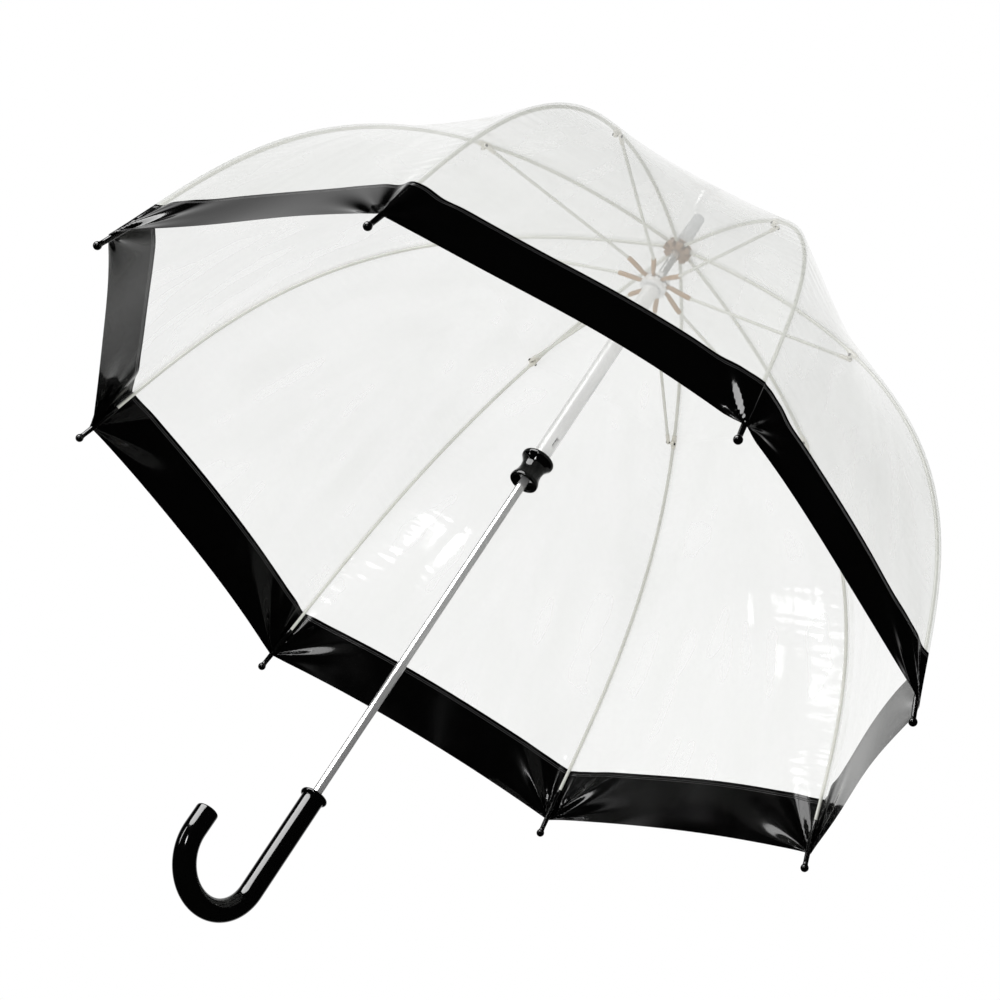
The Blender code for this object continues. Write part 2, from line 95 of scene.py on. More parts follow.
def grid_faces(rows: int, columns: int, around: bool) -> Array:
    """Index the quads of a grid.

    Args:
        rows: number of rows of points.
        columns: number of points in a row.
        around: whether the last column joins the first.

    Returns:
        An array of four indices for each quad.
    """
    index = np.arange(rows * columns).reshape(rows, columns)
    right = np.roll(index, -1, axis=1) if around else index[:, 1:]
    left = index if around else index[:, :-1]
    quads = np.stack([left[:-1], right[:-1], right[1:], left[1:]], axis=-1)
    return quads.reshape(-1, 4)


def object_from(name: str, points: Array, faces: Array, uv: Array | None = None) -> bpy.types.Object:
    """Make an object from points and quads.

    Args:
        name: the piece's name.
        points: its points, as rows of x, y and z in metres.
        faces: four indices for each quad.
        uv: a pair for each point, or None.

    Returns:
        The object, at the origin, shaded smooth.
    """
    mesh = bpy.data.meshes.new(name)
    mesh.vertices.add(len(points))
    mesh.vertices.foreach_set("co", np.ascontiguousarray(points, dtype=np.float32).ravel())
    mesh.loops.add(faces.size)
    mesh.loops.foreach_set("vertex_index", faces.ravel().astype(np.int32))
    mesh.polygons.add(len(faces))
    mesh.polygons.foreach_set("loop_start", np.arange(0, faces.size, 4, dtype=np.int32))
    mesh.update(calc_edges=True)
    mesh.polygons.foreach_set("use_smooth", np.ones(len(faces), dtype=bool))
    if uv is not None:
        layer = mesh.uv_layers.new(name="UVMap")
        layer.data.foreach_set("uv", uv[faces.ravel()].astype(np.float32).ravel())
    made = bpy.data.objects.new(name, mesh)
    bpy.context.scene.collection.objects.link(made)
    return made


def tidy_closed(made: bpy.types.Object, sharp_deg: float = 40.0) -> bpy.types.Object:
    """Merge a closed shape's poles, point its faces outwards and keep its sharp edges sharp.

    Args:
        made: the piece.
        sharp_deg: the angle past which an edge is sharp.

    Returns:
        The same piece.
    """
    shape = bmesh.new()
    shape.from_mesh(made.data)
    bmesh.ops.remove_doubles(shape, verts=shape.verts, dist=1e-7)
    bmesh.ops.dissolve_degenerate(shape, edges=shape.edges, dist=1e-8)
    bmesh.ops.recalc_face_normals(shape, faces=shape.faces)
    shape.to_mesh(made.data)
    shape.free()
    made.data.set_sharp_from_angle(angle=math.radians(sharp_deg))
    return made


def grid_object(name: str, points: Array, around: bool) -> bpy.types.Object:
    """Make a closed piece from a grid of points whose first and last rows are poles or caps.

    Args:
        name: the piece's name.
        points: rows by columns by 3.
        around: whether each row is a ring.

    Returns:
        The piece, with a UV map of the share round it and the metres along it.
    """
    rows, columns = points.shape[:2]
    steps = np.linalg.norm(np.diff(points.mean(axis=1), axis=0), axis=1)
    along = np.concatenate([[0.0], np.cumsum(steps)])
    share = np.arange(columns) / columns
    uv = np.stack(np.broadcast_arrays(share[None, :], along[:, None]), axis=-1).reshape(-1, 2)
    faces = grid_faces(rows, columns, around)
    return tidy_closed(object_from(name, points.reshape(-1, 3), faces, uv))


def lathe_points(outline: Array, columns: int, place: Array | None = None) -> Array:
    """Turn an outline about Z.

    Point (i, j) is the outline's radius r_i at the angle j of a full turn, at the outline's height z_i.

    Args:
        outline: rows of radius and height.
        columns: points round the turn.
        place: a 4 by 4 matrix to place it by, or None.

    Returns:
        rows by columns by 3.
    """
    angle = np.linspace(0.0, math.tau, columns, endpoint=False)
    radius, height = outline[:, :1], outline[:, 1:]
    points = np.stack(
        [radius * np.cos(angle), radius * np.sin(angle), np.broadcast_to(height, (len(outline), columns))],
        axis=-1,
    )
    if place is None:
        return points
    return points @ place[:3, :3].T + place[:3, 3]


def rounded(outline: list[tuple[float, float]], cut: float, steps: int = 4) -> Array:
    """Round an outline's inner corners.

    Each corner is swapped for a quadratic arc that starts and ends at a short cut along its two sides.

    Args:
        outline: rows of radius and height.
        cut: how far along each side the arc starts, at most, in metres.
        steps: points on each arc.

    Returns:
        The rounded outline.
    """
    points = np.array(outline, float)
    result = [points[0]]
    for before, corner, after in zip(points[:-2], points[1:-1], points[2:]):
        first, second = before - corner, after - corner
        reach = min(cut, 0.45 * np.linalg.norm(first), 0.45 * np.linalg.norm(second))
        start = corner + first / max(np.linalg.norm(first), 1e-9) * reach
        end = corner + second / max(np.linalg.norm(second), 1e-9) * reach
        t = np.linspace(0.0, 1.0, steps)[:, None]
        result.extend((1 - t) ** 2 * start + 2 * (1 - t) * t * corner + t**2 * end)
    result.append(points[-1])
    return np.array(result)


def sweep_points(path: Array, radii: Array, columns: int, side: Array) -> Array:
    """Carry an oval along a path.

    Point (i, j) is path_i + side * a_i * cos(angle_j) + up * b_i * sin(angle_j), where side is square to
    the path, up is square to both, and a_i and b_i are the oval's half widths.

    Args:
        path: points along the middle.
        radii: the half width along side and across it, at each point.
        columns: points round the oval.
        side: a direction that stays roughly square to the path.

    Returns:
        rows by columns by 3.
    """
    ahead = np.gradient(path, axis=0)
    ahead /= np.maximum(np.linalg.norm(ahead, axis=1, keepdims=True), 1e-12)
    square = side - ahead * (ahead @ side)[:, None]
    square /= np.linalg.norm(square, axis=1, keepdims=True)
    up = np.cross(ahead, square)
    angle = np.linspace(0.0, math.tau, columns, endpoint=False)
    wide = (radii[:, :1] * np.cos(angle))[..., None] * square[:, None, :]
    deep = (radii[:, 1:] * np.sin(angle))[..., None] * up[:, None, :]
    return path[:, None, :] + wide + deep


def capped(points: Array, dome: float = 0.0) -> Array:
    """Close a swept grid's two ends with a pole, which may stand out as a shallow dome.

    Args:
        points: rows by columns by 3.
        dome: how far each pole stands out, in metres.

    Returns:
        The grid with rows added at each end.
    """
    rings = []
    for ring, following in ((points[0], points[1]), (points[-1], points[-2])):
        middle = ring.mean(axis=0)
        out = middle - following.mean(axis=0)
        out /= max(np.linalg.norm(out), 1e-12)
        share, rise = TURNED_POLE
        inner = middle + (ring - middle) * share + out * dome * rise
        pole = np.broadcast_to(middle + out * dome, ring.shape)
        rings.append((pole, inner))
    (first, near), (last, far) = rings
    return np.concatenate([[first], [near], points, [far], [last]])


# ---------------------------------------------------------------- materials


@dataclass
class Nodes:
    """A material's or a group's node tree, with short ways to add to it."""

    tree: bpy.types.NodeTree

    def add(self, kind: str, **inputs: object) -> bpy.types.Node:
        """Add a node.

        Args:
            kind: the node's type, without the ShaderNode prefix.
            **inputs: values or sockets for its inputs, with _ for a space, or its own settings.

        Returns:
            The node.
        """
        node = self.tree.nodes.new("ShaderNode" + kind)
        for name, value in inputs.items():
            if hasattr(node, name) and name not in node.inputs:
                setattr(node, name, value)
                continue
            socket = node.inputs[int(name[1:])] if name[1:].isdigit() else node.inputs[name.replace("_", " ")]
            self.feed(socket, value)
        return node

    def feed(self, socket: bpy.types.NodeSocket, value: object) -> None:
        """Link a socket to another, or set its value.

        Args:
            socket: the input to feed.
            value: a value, or an output to link it to.
        """
        if isinstance(value, bpy.types.NodeSocket):
            self.tree.links.new(value, socket)
        else:
            socket.default_value = value

    def group(self, name: str, **inputs: object) -> bpy.types.Node:
        """Place a node group.

        Args:
            name: the group's name.
            **inputs: values or sockets for its inputs.

        Returns:
            The group's node.
        """
        node = self.tree.nodes.new("ShaderNodeGroup")
        node.node_tree = bpy.data.node_groups[name]
        for label, value in inputs.items():
            self.feed(node.inputs[label], value)
        return node

    def maths(self, operation: str, a: object, b: object = 0.0, c: object = 0.0) -> bpy.types.NodeSocket:
        """Return the result of one sum.

        Args:
            operation: the sum's kind.
            a: its first value or socket.
            b: its second.
            c: its third, where it has one.

        Returns:
            The result's socket.
        """
        node = self.add("Math", operation=operation)
        for socket, value in zip(node.inputs, (a, b, c)):
            self.feed(socket, value)
        return node.outputs[0]


def new_group(
    name: str, wants: dict[str, float | None], gives: tuple[str, ...]
) -> tuple[Nodes, bpy.types.Node, bpy.types.Node]:
    """Start a shader node group.

    Args:
        name: the group's name.
        wants: its inputs, None for a vector, or else a number's default.
        gives: its outputs, all numbers.

    Returns:
        The group's nodes, its input node and its output node.
    """
    tree = bpy.data.node_groups.new(name, "ShaderNodeTree")
    for label, default in wants.items():
        kind = "NodeSocketVector" if default is None else "NodeSocketFloat"
        socket = tree.interface.new_socket(label, in_out="INPUT", socket_type=kind)
        if default is not None:
            socket.default_value = default
    for label in gives:
        tree.interface.new_socket(label, in_out="OUTPUT", socket_type="NodeSocketFloat")
    return Nodes(tree), tree.nodes.new("NodeGroupInput"), tree.nodes.new("NodeGroupOutput")


def spread_noise(nodes: Nodes, given: bpy.types.Node, result: bpy.types.Node, **noise: object) -> None:
    """Add noise to a group: Height is the noise, and Value is the noise spread from Low to High.

    Args:
        nodes: the group's nodes.
        given: its input node.
        result: its output node.
        **noise: the noise's own inputs.
    """
    height = nodes.add("TexNoise", **noise).outputs["Fac"]
    low, high = NOISE_SPAN
    ends = {"To_Min": given.outputs["Low"], "To_Max": given.outputs["High"]}
    spread = nodes.add("MapRange", Value=height, From_Min=low, From_Max=high, **ends)
    nodes.feed(result.inputs["Value"], spread.outputs["Result"])
    nodes.feed(result.inputs["Height"], height)


def grain_group() -> None:
    """Make the group for an even grain: noise at a scale, spread between a low and a high value."""
    wants = {"Vector": None, "Scale": 100.0, "Low": 0.0, "High": 1.0}
    nodes, given, result = new_group("surface_grain", wants, ("Value", "Height"))
    vector, scale = given.outputs["Vector"], given.outputs["Scale"]
    spread_noise(nodes, given, result, Vector=vector, Scale=scale, Detail=4.0)


def streak_group() -> None:
    """Make the group for streaks along a piece: noise on its UV, packed close round and drawn out along."""
    wants = {"Vector": None, "Around": 30.0, "Along": 60.0, "Detail": 3.0, "Low": 0.0, "High": 1.0}
    nodes, given, result = new_group("long_streaks", wants, ("Value", "Height"))
    parts = nodes.add("SeparateXYZ", Vector=given.outputs["Vector"])
    around = nodes.maths("MULTIPLY", parts.outputs["X"], given.outputs["Around"])
    along = nodes.maths("MULTIPLY", parts.outputs["Y"], given.outputs["Along"])
    drawn = nodes.add("CombineXYZ", X=around, Y=along)
    spread_noise(nodes, given, result, Vector=drawn.outputs[0], Scale=1.0, Detail=given.outputs["Detail"])


def line_group() -> None:
    """Make the group for a weld line: 1 within a half width of a place, and 0 beyond it."""
    wants = {"Distance": 0.0, "Place": 0.003, "Half Width": 0.0003}
    nodes, given, result = new_group("weld_line", wants, ("Mask",))
    off = nodes.maths("SUBTRACT", given.outputs["Distance"], given.outputs["Place"])
    apart = nodes.maths("DIVIDE", nodes.maths("ABSOLUTE", off), given.outputs["Half Width"])
    mask = nodes.maths("SMOOTH_MAX", nodes.maths("SUBTRACT", 1.0, apart), 0.0, 0.2)
    nodes.feed(result.inputs["Mask"], nodes.maths("MINIMUM", mask, 1.0))


def material_once(
    name: str, plain: tuple[float, ...], fill: Callable[[Nodes, bpy.types.Node], None]
) -> bpy.types.Material:
    """Return a material, made and filled the first time it is asked for.

    Args:
        name: its name.
        plain: its colour and opacity in a plain viewport.
        fill: what adds its nodes and sets its shader.

    Returns:
        The material.
    """
    made = bpy.data.materials.get(name)
    if made is None:
        made = bpy.data.materials.new(name)
        made.use_nodes = True
        made.diffuse_color = plain
        fill(Nodes(made.node_tree), made.node_tree.nodes["Principled BSDF"])
    return made


@dataclass(frozen=True)
class Finish:
    """A finish with grain, or streaks along the piece, in its gloss, and a faint cloud in its colour."""

    name: str
    slot: str
    colour: tuple[float, float, float]
    roughness: tuple[float, float] = (0.15, 0.25)
    metallic: float = 0.0
    grain_scale: float = 900.0
    bump: float = 0.02
    coat: float = 0.0
    ior: float = 1.5
    shade: float = 0.06
    streaks: bool = False
    along: float = 60.0
    glow: float = 0.0
    cloud_scale: float = 45.0
    depth: float = 0.2 * MM

    def fill(self, nodes: Nodes, shader: bpy.types.Node) -> None:
        """Add the nodes: grain or streaks feed the gloss and the bump, and a broad cloud feeds the colour.

        Args:
            nodes: the material's nodes.
            shader: its shader.
        """
        place = nodes.add("TexCoord")
        kind, at, stretch, value = ("surface_grain", "Object", "Scale", self.grain_scale)
        if self.streaks:
            kind, at, stretch, value = ("long_streaks", "UV", "Along", self.along)
        spread = {stretch: value, "Low": self.roughness[0], "High": self.roughness[1]}
        grain = nodes.group(kind, Vector=place.outputs[at], **spread)
        nodes.feed(shader.inputs["Roughness"], grain.outputs["Value"])
        cloud = nodes.group("surface_grain", Vector=place.outputs["Object"], Scale=self.cloud_scale)
        dark = tuple(c * (1.0 - self.shade) for c in self.colour)
        light, dark = (*self.colour, 1.0), (*dark, 1.0)
        tint = nodes.add("MixRGB", Fac=cloud.outputs["Value"], Color1=light, Color2=dark)
        nodes.feed(shader.inputs["Base Color"], tint.outputs["Color"])
        bump = nodes.add("Bump", Height=grain.outputs["Height"], Strength=self.bump, Distance=self.depth)
        nodes.feed(shader.inputs["Normal"], bump.outputs["Normal"])
        shader.inputs["Metallic"].default_value = self.metallic
        shader.inputs["IOR"].default_value = self.ior
        shader.inputs["Coat Weight"].default_value = self.coat
        if self.glow:
            nodes.feed(shader.inputs["Emission Color"], tint.outputs["Color"])
            shader.inputs["Emission Strength"].default_value = self.glow

    def material(self) -> bpy.types.Material:
        """Return the finish's material."""
        return material_once(self.name, (*self.colour, 1.0), self.fill)


@dataclass(frozen=True)
class ClearFilm:
    """Clear film: see-through, a little hazy, glossy where it turns away, and wrinkled beside its ribs.

    Its UV map holds the metres beside the nearest rib and the metres down the rib.
    """

    name: str = "dome_film"
    slot: str = "clear_film"
    colour: tuple[float, float, float] = (0.84, 0.85, 0.82)
    ior: float = 1.6
    haze: tuple[float, float] = (0.30, 0.37)
    haze_scale: float = 16.0
    turned: float = 0.08
    turned_blend: float = 0.42
    gathered: float = 0.14
    gathered_reach: float = 35.0 * MM
    streaky: float = 0.22
    clearest: float = 0.03
    comb: float = 0.60
    comb_reach: float = 42.0 * MM
    folds: float = 0.8
    slow: float = 0.9
    slow_scale: float = 11.0
    roughness: tuple[float, float] = (0.04, 0.08)

    def clouding(self, nodes: Nodes, place: bpy.types.Node, folds: bpy.types.Node) -> bpy.types.NodeSocket:
        """Return the film's opacity.

        It is the haze, plus turned * facing^3 where the film turns away, plus gathered * e^(-r / reach)
        at a radius r from the shaft, plus a share of the long folds.

        Args:
            nodes: the material's nodes.
            place: its texture coordinates.
            folds: the node of the long folds.

        Returns:
            The opacity.
        """
        at, (low, high) = place.outputs["Object"], self.haze
        haze = nodes.group("surface_grain", Vector=at, Scale=self.haze_scale, Low=low, High=high)
        total = haze.outputs["Value"]
        slant = nodes.add("LayerWeight", Blend=self.turned_blend)
        turned = nodes.maths("MULTIPLY", nodes.maths("POWER", slant.outputs["Facing"], 3.0), self.turned)
        flat = nodes.add("VectorMath", operation="MULTIPLY", _0=at, _1=(1.0, 1.0, 0.0))
        off = nodes.add("VectorMath", operation="LENGTH", _0=flat.outputs["Vector"]).outputs["Value"]
        near = nodes.maths("POWER", math.e, nodes.maths("DIVIDE", off, -self.gathered_reach))
        gathered = nodes.maths("MULTIPLY", near, self.gathered)
        streaky = nodes.maths("MULTIPLY", nodes.maths("SUBTRACT", folds.outputs["Height"], 0.5), self.streaky)
        for more in (turned, gathered, streaky):
            total = nodes.maths("ADD", total, more)
        return nodes.maths("MINIMUM", nodes.maths("MAXIMUM", total, self.clearest), 1.0)

    def fill(self, nodes: Nodes, shader: bpy.types.Node) -> None:
        """Add the nodes: a comb beside the ribs, long folds and a slow wave make the bump.

        Args:
            nodes: the material's nodes.
            shader: its shader.
        """
        place = nodes.add("TexCoord")
        uv = place.outputs["UV"]
        fine = nodes.group("long_streaks", Vector=uv, Around=16.0, Along=150.0, Detail=0.0)
        folds = nodes.group("long_streaks", Vector=uv, Around=40.0, Along=8.0, Detail=1.0)
        beside = nodes.add("SeparateXYZ", Vector=uv).outputs["X"]
        near = nodes.maths("POWER", math.e, nodes.maths("DIVIDE", beside, -self.comb_reach))
        comb = nodes.maths("MULTIPLY", nodes.maths("MULTIPLY", fine.outputs["Height"], near), self.comb)
        spread = {"Scale": self.slow_scale, "Low": self.roughness[0], "High": self.roughness[1]}
        slow = nodes.group("surface_grain", Vector=place.outputs["Object"], **spread)
        height = nodes.maths("MULTIPLY_ADD", slow.outputs["Height"], self.slow, comb)
        height = nodes.maths("MULTIPLY_ADD", folds.outputs["Height"], self.folds, height)
        bump = nodes.add("Bump", Height=height, Strength=1.0, Distance=MM)
        nodes.feed(shader.inputs["Alpha"], self.clouding(nodes, place, folds))
        nodes.feed(shader.inputs["Roughness"], slow.outputs["Value"])
        nodes.feed(shader.inputs["Normal"], bump.outputs["Normal"])
        shader.inputs["Base Color"].default_value = (*self.colour, 1.0)
        shader.inputs["IOR"].default_value = self.ior

    def material(self) -> bpy.types.Material:
        """Return the film's material."""
        return material_once(self.name, (0.85, 0.88, 0.9, 0.3), self.fill)


@dataclass(frozen=True)
class BorderFilm:
    """Black film with a double weld line near its upper edge, read from the metres down its UV map."""

    name: str = "rim_film"
    slot: str = "black_film"
    weld_places: tuple[float, float] = (2.6 * MM, 4.0 * MM)
    black: float = 0.0008
    weld_grey: float = 0.07
    ripple: float = 0.25
    ripple_scale: float = 30.0
    roughness: tuple[float, float] = (0.07, 0.14)
    bump: float = 0.3
    depth: float = 0.4 * MM
    ior: float = 1.38

    def fill(self, nodes: Nodes, shader: bpy.types.Node) -> None:
        """Add the nodes: the weld lines are greyer and pressed in, and a slow ripple varies the gloss.

        Args:
            nodes: the material's nodes.
            shader: its shader.
        """
        place = nodes.add("TexCoord")
        down = nodes.add("SeparateXYZ", Vector=place.outputs["UV"]).outputs["Y"]
        masks = [nodes.group("weld_line", Distance=down, Place=at).outputs["Mask"] for at in self.weld_places]
        both = nodes.maths("ADD", *masks)
        plain, line = (*[self.black] * 3, 1.0), (*[self.weld_grey] * 3, 1.0)
        tint = nodes.add("MixRGB", Fac=both, Color1=plain, Color2=line)
        nodes.feed(shader.inputs["Base Color"], tint.outputs["Color"])
        spread = {"Scale": self.ripple_scale, "Low": self.roughness[0], "High": self.roughness[1]}
        ripple = nodes.group("surface_grain", Vector=place.outputs["Object"], **spread)
        nodes.feed(shader.inputs["Roughness"], ripple.outputs["Value"])
        pressed = nodes.maths("MULTIPLY", both, -1.0)
        height = nodes.maths("MULTIPLY_ADD", ripple.outputs["Height"], self.ripple, pressed)
        bump = nodes.add("Bump", Height=height, Strength=self.bump, Distance=self.depth)
        nodes.feed(shader.inputs["Normal"], bump.outputs["Normal"])
        shader.inputs["IOR"].default_value = self.ior

    def material(self) -> bpy.types.Material:
        """Return the border's material."""
        return material_once(self.name, (0.01, 0.01, 0.01, 1.0), self.fill)


CHROME = Finish(
    "chrome_plate", "chrome_shaft", (0.84, 0.84, 0.84), (0.12, 0.20), 0.72, streaks=True, bump=0.01, along=8.0
)
BLACK = Finish("black_gloss", "black_plastic", (0.001, 0.001, 0.001), (0.06, 0.10), bump=0.012)
WHITE = Finish("white_gloss", "white_plastic", (0.93, 0.93, 0.92), (0.20, 0.30), coat=0.15, bump=0.02)
CLIP = Finish("clip_cream", "white_plastic", (0.80, 0.78, 0.70), (0.20, 0.32), bump=0.03)
GREY = Finish("ferrule_grey", "grey_plastic", (0.70, 0.71, 0.73), (0.22, 0.32), bump=0.03)
TAN = Finish("tan_moulded", "tan_plastic", (0.46, 0.31, 0.20), (0.35, 0.50), bump=0.05, shade=0.18)
ROD = Finish(
    "glass_fibre_rod", "white_rod", (0.80, 0.805, 0.74), (0.26, 0.40), streaks=True, bump=0.06, shade=0.10
)
ARM_TAN = Finish("tan_arm", "white_rod", (0.50, 0.33, 0.19), (0.30, 0.46), bump=0.05, shade=0.15)
WIRE = Finish("ring_wire", "wire_steel", (0.55, 0.55, 0.57), (0.20, 0.34), 1.0)
SPRING = Finish("spring_leaf", "spring_steel", (0.60, 0.60, 0.62), (0.18, 0.32), 1.0)
PIN_DARK = Finish("pin_dark", "wire_steel", (0.10, 0.09, 0.085), (0.30, 0.45), 1.0)
PALE_FLOOR = Finish("pale_floor", "", (0.90, 0.90, 0.90), (0.5, 0.6), grain_scale=40.0, glow=0.15)
FILM = ClearFilm()
SEAM = ClearFilm(name="film_seam", haze=(0.12, 0.18))
BORDER = BorderFilm()


def dress(made: bpy.types.Object, finish: Finish | ClearFilm | BorderFilm) -> None:
    """Give a new piece its material.

    Args:
        made: the piece.
        finish: its finish, which knows its slot.
    """
    made.data.materials.clear()
    made.data.materials.append(finish.material())


def mount(made: bpy.types.Object, finish: Finish, node: str, body: str) -> None:
    """Dress a new piece, hide the CAD node it stands for, and attach it to the body it rides on.

    Args:
        made: the piece.
        finish: its finish.
        node: the CAD node it stands for.
        body: the body it rides on.
    """
    dress(made, finish)
    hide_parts(node)
    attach(made, body)


def repaint(node: str, finish: Finish) -> None:
    """Give a CAD node that stays its better material."""
    for place in frame["nodes"][node].material_slots:
        place.material = finish.material()


# ---------------------------------------------------------------- the dome's shape


@dataclass(frozen=True)
class Dome:
    """The curve of a rib, and the film between ribs, worked out from the frame's joints and tips."""

    ball: float = 3.2 * MM
    film_end: float = 12.5 * MM
    lift: float = 2.9 * MM
    sag: float = 9.0 * MM
    arch: float = 5.5 * MM
    border: float = 45.0 * MM
    bulge: tuple[float, ...] = (0.8840, 0.8560, 0.9010, 0.3047)

    @property
    def rim(self) -> Array:
        """The radius and height of a tip ball's middle.

        Returns:
            The radius and the height.
        """
        low, high = (np.array(corner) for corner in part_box("tip_0"))
        far = np.maximum(np.abs(low[:2]), np.abs(high[:2])) - self.ball
        return np.array([np.hypot(*far), low[2] + self.ball])

    @property
    def notch(self) -> Array:
        """The radius and height of a rib's pivot."""
        at = JOINTS["rib_upper_0_fold"]["pos_m"]
        return np.array([math.hypot(at[0], at[1]), at[2]])

    @property
    def clip(self) -> Array:
        """The radius and height of the joint in a rib's clip."""
        at = JOINTS["rib_lower_0_straighten"]["pos_m"]
        return np.array([math.hypot(at[0], at[1]), at[2]])

    def azimuth(self, rib: int) -> float:
        """Return a rib's angle about the shaft."""
        at = JOINTS[f"rib_upper_{rib % RIBS}_fold"]["pos_m"]
        return math.atan2(at[1], at[0])


class Curve:
    """A rib's middle line: a cubic from the notch to the tip, read by length."""

    def __init__(self, dome: Dome) -> None:
        """Lay the curve out.

        The four control points are the notch, two points at shares of the rim's radius and of the dome's
        rise, and the tip.

        Args:
            dome: the dome's sizes.
        """
        rim, notch = dome.rim, dome.notch
        rise = notch[1] - rim[1]
        a, b, c, d = dome.bulge
        first = np.array([a * rim[0], rim[1] + b * rise])
        second = np.array([c * rim[0], rim[1] + d * rise])
        t = np.linspace(0.0, 1.0, 1500)[:, None]
        near, far = 3 * (1 - t) ** 2 * t * first, 3 * (1 - t) * t**2 * second
        self.line = (1 - t) ** 3 * notch + near + far + t**3 * rim
        steps = np.linalg.norm(np.diff(self.line, axis=0), axis=1)
        self.lengths = np.concatenate([[0.0], np.cumsum(steps)])
        self.length = float(self.lengths[-1])
        self.clip_at = float(np.interp(dome.clip[0], self.line[:, 0], self.lengths))

    def at(self, along: Array) -> tuple[Array, Array]:
        """Return the radius and height at lengths from the notch."""
        radius = np.interp(along, self.lengths, self.line[:, 0])
        return radius, np.interp(along, self.lengths, self.line[:, 1])

    def direction(self, along: Array) -> tuple[Array, Array]:
        """Return the unit radius and height of the way along, at lengths from the notch.

        Args:
            along: lengths from the notch.

        Returns:
            The radius's share and the height's share of each unit step.
        """
        near, far = np.clip(along - MM, 0, self.length), np.clip(along + MM, 0, self.length)
        (r0, z0), (r1, z1) = self.at(near), self.at(far)
        size = np.maximum(np.hypot(r1 - r0, z1 - z0), 1e-9)
        return (r1 - r0) / size, (z1 - z0) / size


@dataclass(frozen=True)
class Folding:
    """How a half gore flattens: how far its way dips from level, and where its still line stands."""

    dip: float
    bow: float


